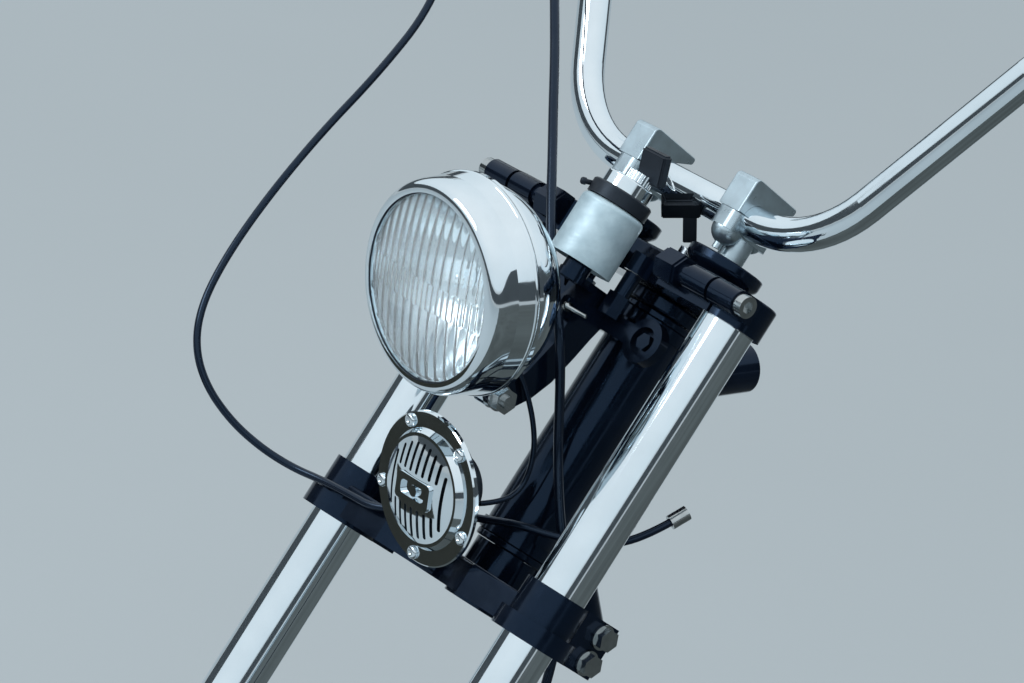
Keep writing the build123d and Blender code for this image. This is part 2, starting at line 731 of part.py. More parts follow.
with BuildPart() as lower_pinch_bolts:
    for _, sign in SIDES:
        for step in (-EAR_BOLT_STEP / 2, EAR_BOLT_STEP / 2):
            bolt_up = LOWER_UP + LOWER_TALL / 2 + step
            with BuildSketch(beside(sign * (EAR_OUT + SEAT_GAP), EAR_AHEAD, bolt_up)):
                Circle(EAR_WASHER_R)
            extrude(amount=-sign * WASHER_THICK)
            head_side = sign * (EAR_OUT + SEAT_GAP + WASHER_THICK)
            with BuildSketch(beside(head_side, EAR_AHEAD, bolt_up)):
                RegularPolygon(EAR_HEAD_R, 6)
            extrude(amount=-sign * EAR_HEAD_THICK)
save(lower_pinch_bolts, "lower_pinch_bolts")

# Risers: flared cup, post with the bar's lower half, and the cap over the bar
riser_base_up = UPPER_TOP_UP + SEAT_GAP
with BuildPart() as riser_cups:
    for _, sign in SIDES:
        with BuildSketch(facing(sign * RISER_SIDE, RISER_AHEAD, riser_base_up)):
            with BuildLine():
                rim_low = RISER_CUP_TALL - CUP_RIM_TALL
                Polyline((CUP_BASE_R, 0), (POST_R + SEAT_GAP, 0), (POST_R + SEAT_GAP, rim_low))
                Bezier(
                    (POST_R + SEAT_GAP, rim_low),
                    (CUP_BASE_R, rim_low),
                    (CUP_RIM_R - CUP_RIM_WALL, rim_low),
                    (CUP_RIM_R - CUP_RIM_WALL, RISER_CUP_TALL),
                )
                FilletPolyline(
                    (CUP_RIM_R - CUP_RIM_WALL, RISER_CUP_TALL),
                    (CUP_RIM_R, RISER_CUP_TALL),
                    (CUP_RIM_R, rim_low),
                    radius=CUP_RIM_WALL / 2,
                )
                Bezier(
                    (CUP_RIM_R, rim_low),
                    (CUP_RIM_R, rim_low / 2),
                    (CUP_BASE_R, rim_low / 2),
                    (CUP_BASE_R, 0),
                )
            make_face()
        revolve(axis=Axis(spot(sign * RISER_SIDE, RISER_AHEAD, 0), STEER))
save(riser_cups, "riser_cups")

parting_up = BAR_UP + SEAT_GAP / 2
for label, sign in SIDES:
    with BuildPart() as riser:
        with BuildSketch(across(sign * RISER_SIDE, RISER_AHEAD, riser_base_up)):
            Circle(POST_R)
        extrude(amount=parting_up - riser_base_up)
        holder_mid = (HOLDER_FRONT + HOLDER_REAR) / 2
        with BuildSketch(across(sign * RISER_SIDE, holder_mid, HOLDER_LOW_UP)):
            RectangleRounded(RISER_WIDE, HOLDER_FRONT - HOLDER_REAR, HOLDER_CORNER_R)
        extrude(amount=parting_up - HOLDER_LOW_UP)
        for lobe_ahead, lobe_r, lobe_low in LOBES:
            with BuildSketch(facing(sign * RISER_SIDE, lobe_ahead, lobe_low)):
                with BuildLine():
                    Bezier(
                        (0, 0),
                        (lobe_r * ROUND_PULL, 0),
                        (lobe_r, lobe_r * (1 - ROUND_PULL)),
                        (lobe_r, lobe_r),
                    )
                    Polyline(
                        (lobe_r, lobe_r),
                        (lobe_r, HOLDER_LOW_UP + HOLDER_UNDER - lobe_low),
                        (0, HOLDER_LOW_UP + HOLDER_UNDER - lobe_low),
                        (0, 0),
                    )
                make_face()
            revolve(axis=Axis(spot(sign * RISER_SIDE, lobe_ahead, 0), STEER))
        screw_ahead, _, screw_low = LOBES[0]
        with BuildSketch(across(sign * RISER_SIDE, screw_ahead, screw_low - RISER_SCREW_OUT)):
            Circle(RISER_SCREW_R)
        extrude(amount=2 * RISER_SCREW_OUT)
        with BuildSketch(beside(sign * (RISER_SIDE - RISER_WIDE), BAR_AHEAD, BAR_UP)):
            Circle(BAR_R + TUBE_GAP)
        extrude(amount=-sign * 2 * RISER_WIDE, mode=Mode.SUBTRACT)
    save(riser, f"riser_{label}")

    with BuildPart() as riser_cap:
        nose_deep = RISER_TOP_UP - parting_up - SEAT_GAP
        with BuildSketch(beside(sign * (RISER_SIDE - RISER_WIDE / 2), 0, parting_up + SEAT_GAP)):
            with BuildLine():
                tail_ahead = HOLDER_REAR - RISER_TAIL_OUT
                FilletPolyline(
                    (HOLDER_FRONT, 0),
                    (HOLDER_FRONT, nose_deep),
                    (tail_ahead, nose_deep - RISER_TOP_FALL),
                    (tail_ahead, nose_deep - RISER_TOP_FALL - RISER_TAIL_TALL),
                    (BAR_AHEAD - RISER_TAIL_ROOT, nose_deep / 2),
                    (BAR_AHEAD - BAR_R - RISER_TAIL_WALL, 0),
                    radius=(RISER_NOSE_R, RISER_EDGE_R, RISER_EDGE_R, RISER_NOSE_R),
                )
                Line((BAR_AHEAD - BAR_R - RISER_TAIL_WALL, 0), (HOLDER_FRONT, 0))
            make_face()
        extrude(amount=-sign * RISER_WIDE)
        fillet(riser_cap.faces().sort_by(Axis.X)[0].edges(), RISER_EDGE_R / 2)
        fillet(riser_cap.faces().sort_by(Axis.X)[-1].edges(), RISER_EDGE_R / 2)
        with BuildSketch(beside(sign * (RISER_SIDE - RISER_WIDE), BAR_AHEAD, BAR_UP)):
            Circle(BAR_R + TUBE_GAP)
        extrude(amount=-sign * 2 * RISER_WIDE, mode=Mode.SUBTRACT)
    save(riser_cap, f"riser_cap_{label}")

# Handlebar, one bent tube from grip to grip


def bar_corner(sign):
    """Lower corner of the bar's path."""
    return spot(sign * BAR_CORNER_SIDE, BAR_AHEAD, BAR_UP)


def leg_direction(sign):
    """Way a leg of the bar rises."""
    splay = radians(LEG_SPLAY)
    lean = radians(LEG_LEAN)
    rise = STEER * (cos(splay) * cos(lean)) + AHEAD * (cos(splay) * sin(lean))
    return Vector(sign * sin(splay), 0, 0) + rise


def grip_direction(sign):
    """Way a grip points, outwards."""
    pull = radians(GRIP_PULL)
    droop = radians(GRIP_DROOP)
    return Vector(sign * cos(droop) * cos(pull), cos(droop) * sin(pull), -sin(droop))


def lever_direction(sign):
    """Square to the grip, ahead and nearly level."""
    grip = grip_direction(sign)
    front = Vector(0, -1, 0)
    return (front - grip * front.dot(grip)).normalized()


def upper_corner(sign):
    """Upper corner of the bar's path."""
    return bar_corner(sign) + leg_direction(sign) * LEG_LENGTH


def grip_plane(sign, reach, ahead=0.0):
    """Square to the grip: local x ahead, local z outwards."""
    middle = upper_corner(sign) + grip_direction(sign) * reach + lever_direction(sign) * ahead
    return Plane(middle, x_dir=lever_direction(sign), z_dir=grip_direction(sign))


def lever_plane(sign, reach=0.0, ahead=0.0):
    """Plane of a lever: local x outwards along the grip, local y ahead."""
    middle = upper_corner(sign) + grip_direction(sign) * reach + lever_direction(sign) * ahead
    normal = grip_direction(sign).cross(lever_direction(sign))
    return Plane(middle, x_dir=grip_direction(sign), z_dir=normal)


def bar_end(sign):
    """Open end of the bar."""
    return upper_corner(sign) + grip_direction(sign) * GRIP_RUN


with BuildPart() as handlebar:
    with BuildLine() as bar_path:
        FilletPolyline(
            bar_end(-1),
            upper_corner(-1),
            bar_corner(-1),
            bar_corner(1),
            upper_corner(1),
            bar_end(1),
            radius=(GRIP_BEND_R, BAR_BEND_R, BAR_BEND_R, GRIP_BEND_R),
        )
    with BuildSketch(Plane(bar_end(-1), z_dir=-grip_direction(-1))):
        Circle(BAR_R)
    sweep(path=bar_path.wires()[0])
save(handlebar, "handlebar")

# Grips, housings, perches and levers
for label, sign in SIDES:
    with BuildPart() as grip:
        with BuildSketch(grip_plane(sign, GRIP_AT)):
            Circle(GRIP_FLANGE_R)
        extrude(amount=GRIP_FLANGE_THICK)
        with BuildSketch(grip_plane(sign, GRIP_AT)):
            Circle(GRIP_R)
        extrude(amount=GRIP_RUN - GRIP_AT + GRIP_END_THICK)
        rib_step = (GRIP_RUN - GRIP_AT - GRIP_FLANGE_THICK) / GRIP_RIBS
        for rib in range(GRIP_RIBS):
            rib_at = GRIP_AT + GRIP_FLANGE_THICK + (rib + 0.5) * rib_step
            with BuildSketch(grip_plane(sign, rib_at)):
                Circle(GRIP_R + GRIP_RIB_OUT)
            extrude(amount=GRIP_RIB_WIDE)
        with BuildSketch(grip_plane(sign, GRIP_AT)):
            Circle(BAR_R + SEAT_GAP)
        extrude(amount=GRIP_RUN - GRIP_AT + SEAT_GAP, mode=Mode.SUBTRACT)
    save(grip, f"grip_{label}")

    with BuildPart() as housing:
        with BuildSketch(grip_plane(sign, HOUSING_AT)):
            Circle(HOUSING_R)
            Circle(BAR_R + SEAT_GAP, mode=Mode.SUBTRACT)
        extrude(amount=HOUSING_LONG)
        rim_edges = housing.edges().filter_by(GeomType.CIRCLE).group_by(SortBy.RADIUS)[-1]
        fillet(rim_edges, HOUSING_EDGE_R)
    save(housing, f"control_housing_{label}")

    with BuildPart() as perch:
        with BuildSketch(grip_plane(sign, PERCH_AT)):
            Circle(PERCH_R)
            with Locations((LEVER_PIVOT_AHEAD / 2, 0)):
                Rectangle(LEVER_PIVOT_AHEAD, LEVER_THICK * 2)
            Circle(BAR_R + SEAT_GAP, mode=Mode.SUBTRACT)
        extrude(amount=PERCH_LONG)
        mirror_plane = lever_plane(sign, PERCH_AT + PERCH_LONG / 2, MIRROR_HOLE_AHEAD)
        with BuildSketch(mirror_plane.offset(-sign * LEVER_THICK)):
            Circle(MIRROR_HOLE_R)
        extrude(amount=sign * MIRROR_HOLE_DEPTH, mode=Mode.SUBTRACT)
    save(perch, f"lever_perch_{label}")

    with BuildPart() as lever:
        with BuildSketch(lever_plane(sign)):
            with BuildLine():
                root = LEVER_PIVOT_AHEAD + SEAT_GAP
                reach_in = LEVER_REACH - LEVER_WIDE / 2
                reach_out = LEVER_REACH + LEVER_WIDE / 2
                Bezier(
                    (PERCH_AT, root + LEVER_WIDE),
                    (PERCH_AT + PERCH_LONG, reach_out),
                    (GRIP_AT, reach_out + LEVER_SWELL),
                    (LEVER_END, LEVER_REACH + LEVER_TIP_R),
                )
                Line((LEVER_END, LEVER_REACH + LEVER_TIP_R), (LEVER_END, LEVER_REACH - LEVER_TIP_R))
                Bezier(
                    (LEVER_END, LEVER_REACH - LEVER_TIP_R),
                    (GRIP_AT + PERCH_LONG, reach_in + LEVER_SWELL),
                    (GRIP_AT, reach_in),
                    (PERCH_AT + PERCH_LONG, root),
                )
                Line((PERCH_AT + PERCH_LONG, root), (PERCH_AT, root))
                Line((PERCH_AT, root), (PERCH_AT, root + LEVER_WIDE))
            make_face()
        extrude(amount=LEVER_THICK / 2, both=True)
        long_edges = lever.edges().filter_by(GeomType.BEZIER)
        chamfer(long_edges, LEVER_EDGE)
        with Locations(lever_plane(sign, LEVER_END, LEVER_REACH).origin):
            Sphere(LEVER_BALL_R)
    save(lever, f"lever_{label}")

with BuildPart() as master_cylinder:
    with BuildSketch(grip_plane(-1, MASTER_FROM, MASTER_AHEAD)):
        Circle(MASTER_R)
    extrude(amount=PERCH_AT - MASTER_FROM - SEAT_GAP)
    reservoir_at = RESERVOIR_FROM + RESERVOIR[0] / 2
    with BuildSketch(lever_plane(-1, reservoir_at, MASTER_AHEAD).offset(MASTER_R - 2)):
        RectangleRounded(RESERVOIR[0], RESERVOIR[1], RESERVOIR_EDGE_R)
    extrude(amount=RESERVOIR[2])
    lid_plane = lever_plane(-1, reservoir_at, MASTER_AHEAD).offset(MASTER_R - 2 + RESERVOIR[2])
    with BuildSketch(lid_plane):
        lid_sides = (RESERVOIR[0] + RESERVOIR_LID, RESERVOIR[1] + RESERVOIR_LID)
        RectangleRounded(*lid_sides, RESERVOIR_EDGE_R)
    extrude(amount=-RESERVOIR_LID)
save(master_cylinder, "master_cylinder")

# Lamp: bowl, rim, lens, reflector; profiles are (outwards, ahead)
lamp_plane = level_front(LAMP_AHEAD, LAMP_UP)
lamp_axis = Axis(spot(0, LAMP_AHEAD, LAMP_UP), (0, -1, 0))


def bowl_arc(rim_r, depth):
    """Quarter of an ellipse from the bowl's mouth to the middle of its back."""
    Bezier(
        (rim_r, -BOWL_FRONT),
        (rim_r, -BOWL_FRONT - depth * ROUND_PULL),
        (rim_r * ROUND_PULL, -BOWL_FRONT - depth),
        (0, -BOWL_FRONT - depth),
    )


with BuildPart() as lamp_bowl:
    with BuildSketch(lamp_plane):
        with BuildLine():
            bowl_arc(BOWL_R, BOWL_DEPTH)
            Line((0, -BOWL_FRONT), (0, -BOWL_FRONT - BOWL_DEPTH))
            Line((0, -BOWL_FRONT), (BOWL_R, -BOWL_FRONT))
        make_face()
    revolve(axis=lamp_axis)
    with BuildSketch(beside(-LUG_WIDE / 2, LAMP_BOLT_AHEAD, LAMP_BOLT_UP)):
        Circle(LUG_R)
        with Locations(Location((0, 0, 0), (0, 0, LUG_TURN))):
            Rectangle(LUG_REACH, 2 * LUG_R, align=(Align.MIN, Align.CENTER))
    extrude(amount=-LUG_WIDE)
    with BuildSketch(lamp_plane):
        with BuildLine():
            bowl_arc(BOWL_R - BOWL_WALL, BOWL_DEPTH - BOWL_WALL)
            Line((0, -BOWL_FRONT), (0, -BOWL_FRONT - BOWL_DEPTH + BOWL_WALL))
            Line((0, -BOWL_FRONT), (BOWL_R - BOWL_WALL, -BOWL_FRONT))
        make_face()
    revolve(axis=lamp_axis, mode=Mode.SUBTRACT)
    with BuildSketch(level_face(LAMP_AHEAD, LAMP_UP, -BOWL_FRONT)):
        Circle(RIM_R)
        Circle(BOWL_R - BOWL_WALL, mode=Mode.SUBTRACT)
    extrude(amount=-BEAD_TALL)
    with BuildSketch(beside(-LUG_WIDE, LAMP_BOLT_AHEAD, LAMP_BOLT_UP)):
        Circle(LAMP_BOLT_R + TUBE_GAP)
    extrude(amount=-2 * LUG_WIDE, mode=Mode.SUBTRACT)
    split(bisect_by=level_face(LAMP_AHEAD, LAMP_UP, -BOWL_FRONT), keep=Keep.BOTTOM)
save(lamp_bowl, "lamp_bowl")

with BuildPart() as lamp_rim:
    rim_in = LENS_R + GLASS_GAP
    rim_back = SEAT_GAP - BOWL_FRONT
    with BuildSketch(lamp_plane):
        with BuildLine():
            barrel_r = RIM_R - RIM_BARREL_IN
            inner_r = RIM_R - RIM_WALL
            Bezier(
                (rim_in, LENS_BEFORE),
                (inner_r, LENS_BEFORE),
                (barrel_r, 2 * RIM_BARREL_BEFORE),
                (barrel_r, RIM_BARREL_BEFORE),
            )
            Line((barrel_r, RIM_BARREL_BEFORE), (RIM_R, 0))
            ThreePointArc((RIM_R, 0), (RIM_R + BEAD_OUT, rim_back / 2), (RIM_R, rim_back))
            Line((RIM_R, rim_back), (inner_r, rim_back))
            Bezier(
                (inner_r, rim_back),
                (inner_r - RIM_BARREL_IN, RIM_BARREL_BEFORE),
                (inner_r - RIM_BARREL_IN, LENS_BEFORE - RIM_LIP),
                (rim_in, LENS_BEFORE - RIM_LIP),
            )
            Line((rim_in, LENS_BEFORE - RIM_LIP), (rim_in, LENS_BEFORE))
        make_face()
    revolve(axis=lamp_axis)
save(lamp_rim, "lamp_rim")

lens_edge = LENS_BEFORE - 4
with BuildPart() as lamp_lens:
    with BuildSketch(lamp_plane):
        with BuildLine():
            middle = (LENS_R / 2, lens_edge + crown_height(LENS_R, LENS_CROWN, LENS_R / 2))
            ThreePointArc((0, lens_edge + LENS_CROWN), middle, (LENS_R, lens_edge))
            Line((LENS_R, lens_edge), (LENS_R, lens_edge - LENS_THICK))
            ThreePointArc(
                (LENS_R, lens_edge - LENS_THICK),
                (LENS_R / 2, middle[1] - LENS_THICK),
                (0, lens_edge + LENS_CROWN - LENS_THICK),
            )
            Line((0, lens_edge + LENS_CROWN - LENS_THICK), (0, lens_edge + LENS_CROWN))
        make_face()
    revolve(axis=lamp_axis)
save(lamp_lens, "lamp_lens")

with BuildPart() as reflector:
    mouth = lens_edge - LENS_THICK - SEAT_GAP
    with BuildSketch(lamp_plane):
        with BuildLine():
            share = REFLECTOR_HOLE_R / (LENS_R + REFLECTOR_HOLE_R)
            waist = ((LENS_R + REFLECTOR_HOLE_R) / 2, mouth - REFLECTOR_DEPTH * (1 - share))
            front_line = Bezier((LENS_R, mouth), waist, (REFLECTOR_HOLE_R, mouth - REFLECTOR_DEPTH))
            back_line = Bezier(
                (LENS_R, mouth - REFLECTOR_THICK),
                (waist[0], waist[1] - REFLECTOR_THICK),
                (REFLECTOR_HOLE_R, mouth - REFLECTOR_DEPTH - REFLECTOR_THICK),
            )
            Line(front_line @ 0, back_line @ 0)
            Line(front_line @ 1, back_line @ 1)
        make_face()
    revolve(axis=lamp_axis)
    # Bulb holder closing the hole, and the bulb
    with BuildSketch(level_face(LAMP_AHEAD, LAMP_UP, mouth - REFLECTOR_DEPTH)):
        Circle(REFLECTOR_HOLE_R + REFLECTOR_THICK)
    extrude(amount=-HOLDER_THICK)
    with BuildSketch(lamp_plane):
        with BuildLine():
            bulb_base = mouth - REFLECTOR_DEPTH - HOLDER_THICK / 2
            bulb_top = bulb_base + BULB_LONG
            bulb_side = bulb_top - BULB_R
            Polyline((0, bulb_top), (0, bulb_base), (BULB_R, bulb_base), (BULB_R, bulb_side))
            RadiusArc((BULB_R, bulb_side), (0, bulb_top), -BULB_R)
        make_face()
    revolve(axis=lamp_axis)
save(reflector, "lamp_reflector")

# Lamp bracket: upright plate ahead of the neck, the columns that hang it from the
# upper clamp, a shelf under the ignition switch and the arm down to the bowl's lug
with BuildPart() as lamp_bracket:
    with BuildSketch(beside(-ARM_HALF, 0, 0)):
        with BuildLine():
            FilletPolyline(
                (LAMP_BOLT_AHEAD + ARM_END_R, LAMP_BOLT_UP - ARM_END_R),
                (LAMP_BOLT_AHEAD + ARM_END_R, LAMP_BOLT_UP + ARM_END_R),
                *ARM_FRONT,
                (PLATE_AHEAD - PLATE_THICK, SHELF_UP),
                *ARM_BACK,
                close=True,
                radius=ARM_ROUNDS,
            )
        make_face()
    extrude(amount=-2 * ARM_HALF)
    with BuildSketch(facing(0, PLATE_AHEAD - PLATE_THICK, PLATE_EYE_UP)):
        Rectangle(2 * PLATE_EYE_SIDE, WING_TALL)
        with Locations((PLATE_EYE_SIDE, 0), (-PLATE_EYE_SIDE, 0)):
            Circle(PLATE_EYE_R)
    extrude(amount=PLATE_THICK)
    with BuildSketch(across(0, 0, PLATE_EYE_UP - WING_TALL / 2)):
        with Locations((0, -(PLATE_AHEAD - WING_R / 2))):
            Rectangle(2 * PLATE_EYE_SIDE, WING_R)
        Circle(WING_CLEAR_R, mode=Mode.SUBTRACT)
    extrude(amount=WING_TALL)
    with BuildSketch(facing(0, PLATE_AHEAD, PLATE_EYE_UP)):
        with Locations((PLATE_EYE_SIDE, 0), (-PLATE_EYE_SIDE, 0)):
            Circle(EYE_RECESS_R)
    extrude(amount=-EYE_RECESS_DEPTH, mode=Mode.SUBTRACT)
    with BuildSketch(facing(0, PLATE_AHEAD - EYE_RECESS_DEPTH, PLATE_EYE_UP)):
        with Locations((PLATE_EYE_SIDE, 0), (-PLATE_EYE_SIDE, 0)):
            RegularPolygon(EYE_BOLT_R, 6)
    extrude(amount=EYE_RECESS_DEPTH - 1)
    with BuildSketch(across(0, 0, SHELF_UP)):
        with Locations((0, -(PLATE_AHEAD + SWITCH_AHEAD) / 2)):
            Rectangle(2 * SHELF_HALF, SWITCH_AHEAD - PLATE_AHEAD)
        with Locations((0, -SWITCH_AHEAD)):
            Circle(SHELF_DISC_R)
    extrude(amount=SHELF_TALL)
    with BuildSketch(across(0, SWITCH_AHEAD, SHELF_UP)):
        Circle(SHELF_HALF)
    extrude(amount=COVER_LOW_UP + SWITCH_BODY_IN - SEAT_GAP - SHELF_UP)
    for _, sign in SIDES:
        with BuildSketch(across(sign * COLUMN_SIDE, COLUMN_AHEAD, COLUMN_FOOT[0])):
            RegularPolygon(COLUMN_FOOT_R, 6)
        extrude(amount=COLUMN_FOOT[1] - COLUMN_FOOT[0])
        with BuildSketch(across(sign * COLUMN_SIDE, COLUMN_AHEAD, COLUMN_FOOT[0])):
            Circle(COLUMN_R)
        extrude(amount=UPPER_UP - SEAT_GAP - COLUMN_FOOT[0])
    with BuildSketch(beside(-LUG_WIDE / 2 - SEAT_GAP, LAMP_BOLT_AHEAD, LAMP_BOLT_UP)):
        Circle(LUG_R + 1)
        with Locations(Location((0, 0, 0), (0, 0, LUG_TURN))):
            Rectangle(LUG_REACH, 2 * LUG_R + 2, align=(Align.MIN, Align.CENTER))
    extrude(amount=-LUG_WIDE - 2 * SEAT_GAP, mode=Mode.SUBTRACT)
    with BuildSketch(beside(-2 * ARM_HALF, LAMP_BOLT_AHEAD, LAMP_BOLT_UP)):
        Circle(LAMP_BOLT_R + TUBE_GAP)
    extrude(amount=-4 * ARM_HALF, mode=Mode.SUBTRACT)
save(lamp_bracket, "lamp_bracket")

bolt_from = ARM_HALF + SEAT_GAP
with BuildPart() as lamp_bolt:
    with BuildSketch(beside(-bolt_from, LAMP_BOLT_AHEAD, LAMP_BOLT_UP)):
        Circle(LAMP_BOLT_R)
    extrude(amount=-(2 * bolt_from + WASHER_THICK + LAMP_NUT_THICK + BOLT_POINT))
    with BuildSketch(beside(-bolt_from, LAMP_BOLT_AHEAD, LAMP_BOLT_UP)):
        RegularPolygon(LAMP_NUT_R, 6)
    extrude(amount=LAMP_NUT_THICK)
    with BuildSketch(beside(bolt_from, LAMP_BOLT_AHEAD, LAMP_BOLT_UP)):
        Circle(LAMP_NUT_R)
    extrude(amount=-WASHER_THICK)
    with BuildSketch(beside(bolt_from + WASHER_THICK, LAMP_BOLT_AHEAD, LAMP_BOLT_UP)):
        RegularPolygon(LAMP_NUT_R, 6)
    extrude(amount=-LAMP_NUT_THICK)
save(lamp_bolt, "lamp_bolt")

# Horn: body, face and strap
horn_axis = Axis(spot(0, HORN_AHEAD, HORN_UP), (0, -1, 0))
with BuildPart() as horn_body:
    with BuildSketch(level_face(HORN_AHEAD, HORN_UP)):
        Circle(HORN_BODY_R)
    extrude(amount=-HORN_BODY_DEEP)
    with BuildSketch(level_face(HORN_AHEAD, HORN_UP)):
        Circle(HORN_MAGNET_R)
    extrude(amount=-HORN_BODY_DEEP - HORN_MAGNET_DEEP)
save(horn_body, "horn_body")

with BuildPart() as horn_face:
    ledge = HORN_FLANGE + HORN_STEP
    top = ledge + HORN_CROWN
    with BuildSketch(level_front(HORN_AHEAD, HORN_UP)):
        with BuildLine():
            half_r = HORN_DOME_R / 2
            half_rise = ledge + crown_height(HORN_DOME_R, HORN_CROWN, half_r)
            inner_r = HORN_DOME_R - HORN_WALL
            Polyline(
                (inner_r, ledge - HORN_WALL),
                (inner_r, SEAT_GAP),
                (HORN_R, SEAT_GAP),
                (HORN_R, HORN_FLANGE - 1),
                (HORN_R - 1, HORN_FLANGE),
                (HORN_STEP_R, HORN_FLANGE),
                (HORN_LEDGE_R, ledge),
                (HORN_DOME_R, ledge),
            )
            ThreePointArc((HORN_DOME_R, ledge), (half_r, half_rise), (0, top))
            Line((0, top), (0, top - HORN_WALL))
            ThreePointArc(
                (0, top - HORN_WALL),
                (half_r, half_rise - HORN_WALL),
                (inner_r, ledge - HORN_WALL),
            )
        make_face()
    revolve(axis=horn_axis)
    # Slots over the dome, those above and below the window in pairs
    with BuildSketch(level_face(HORN_AHEAD, HORN_UP, ledge)):
        for column in range(SLOT_COLUMNS):
            across_x = (column - SLOT_COLUMNS // 2) * SLOT_PITCH
            reach = sqrt(SLOT_REACH_R**2 - across_x**2)
            if abs(across_x) > WINDOW[0] / 2 + SLOT_PITCH:
                with Locations((across_x, 0)):
                    SlotOverall(2 * reach, SLOT_WIDE, rotation=90)
            else:
                middle_up = (SLOT_INNER + reach) / 2
                with Locations((across_x, middle_up), (across_x, -middle_up)):
                    SlotOverall(reach - SLOT_INNER, SLOT_WIDE, rotation=90)
    extrude(amount=HORN_CROWN, both=True, mode=Mode.SUBTRACT)
    # Raised window with the button in it
    window_base = top - WINDOW_DEEP
    with BuildSketch(level_face(HORN_AHEAD, HORN_UP, window_base)):
        RectangleRounded(WINDOW[0], WINDOW[1], WINDOW_ROUND)
    extrude(amount=WINDOW_DEEP + WINDOW_RISE)
    with BuildSketch(level_face(HORN_AHEAD, HORN_UP, window_base + HORN_WALL)):
        RectangleRounded(WINDOW[2], WINDOW[3], WINDOW_ROUND)
    extrude(amount=WINDOW_DEEP, mode=Mode.SUBTRACT)
    with BuildSketch(level_face(HORN_AHEAD, HORN_UP, window_base)):
        Circle(BUTTON_R)
    extrude(amount=WINDOW_DEEP, taper=12)
save(horn_face, "horn_face")

horn_back = HORN_BODY_DEEP + HORN_MAGNET_DEEP + SEAT_GAP
lean = radians(RAKE)
strap_top_ahead = HORN_AHEAD - horn_back * cos(lean) + STRAP_RISE * sin(lean)
strap_top_up = HORN_UP + horn_back * sin(lean) + STRAP_RISE * cos(lean)
scoop_dip = LOWER_SCOOP_R - sqrt(LOWER_SCOOP_R**2 - (STRAP_WIDE / 2) ** 2)
strap_foot = LOWER_SCOOP_AHEAD + scoop_dip + SEAT_GAP
strap_low_up = web_low_up + 1
strap_bend_up = strap_top_up - (strap_top_ahead - strap_foot - STRAP_THICK) / tan(lean)
with BuildPart() as horn_bracket:
    with BuildSketch(beside(-STRAP_WIDE / 2, 0, 0)):
        with BuildLine():
            Polyline(
                (strap_foot, strap_low_up),
                (strap_foot + STRAP_THICK, strap_low_up),
                (strap_foot + STRAP_THICK, strap_bend_up),
                (strap_top_ahead, strap_top_up),
                (strap_top_ahead - STRAP_THICK * cos(lean), strap_top_up + STRAP_THICK * sin(lean)),
                (strap_foot, strap_bend_up + STRAP_THICK * tan(lean / 2)),
                close=True,
            )
        make_face()
    extrude(amount=-STRAP_WIDE)
save(horn_bracket, "horn_bracket")

# Ignition switch
with BuildPart() as switch_body:
    with BuildSketch(across(0, SWITCH_AHEAD, COVER_LOW_UP + SWITCH_BODY_IN)):
        Circle(SWITCH_BODY_R)
    extrude(amount=COVER_HIGH_UP - COVER_LOW_UP - SWITCH_BODY_IN)
    with BuildSketch(across(0, SWITCH_AHEAD, COVER_HIGH_UP)):
        Circle(COVER_R - SWITCH_RING_IN)
    extrude(amount=SWITCH_RING_TALL)
    chamfer(switch_body.edges().group_by(Axis(spot(), STEER))[-1], SWITCH_RING_IN)
save(switch_body, "switch_body")

with BuildPart() as switch_cover:
    with BuildSketch(across(0, SWITCH_AHEAD, COVER_LOW_UP)):
        Circle(COVER_R)
    extrude(amount=COVER_HIGH_UP - COVER_LOW_UP - SEAT_GAP)
    fillet(switch_cover.edges().group_by(Axis(spot(), STEER))[-1], COVER_SHOULDER)
    with BuildSketch(across(0, SWITCH_AHEAD, COVER_LOW_UP)):
        Circle(SWITCH_BODY_R + SEAT_GAP)
    extrude(amount=COVER_HIGH_UP - COVER_LOW_UP, mode=Mode.SUBTRACT)
    with BuildSketch(across(0, SWITCH_AHEAD, COVER_LOW_UP)):
        Circle(COVER_R - COVER_WALL)
    extrude(amount=COVER_HIGH_UP - COVER_LOW_UP - 2 * COVER_SHOULDER, mode=Mode.SUBTRACT)
save(switch_cover, "switch_cover")

with BuildPart() as switch_cap:
    with BuildSketch(across(0, SWITCH_AHEAD, COVER_HIGH_UP + SWITCH_RING_TALL + SEAT_GAP)):
        Circle(SWITCH_CAP_R)
    extrude(amount=SWITCH_CAP_TALL)
    fillet(switch_cap.edges().group_by(Axis(spot(), STEER))[-1], SWITCH_CAP_EDGE_R)
    lock_up = COVER_HIGH_UP + SWITCH_RING_TALL + SEAT_GAP + SWITCH_CAP_TALL
    with BuildSketch(across(0, SWITCH_AHEAD - KNURL_BACK, lock_up)):
        Circle(KNURL_R)
        with PolarLocations(KNURL_R, KNURL_POINTS):
            Circle(KNURL_DEEP, mode=Mode.SUBTRACT)
    extrude(amount=KNURL_TALL)
save(switch_cap, "switch_cap")

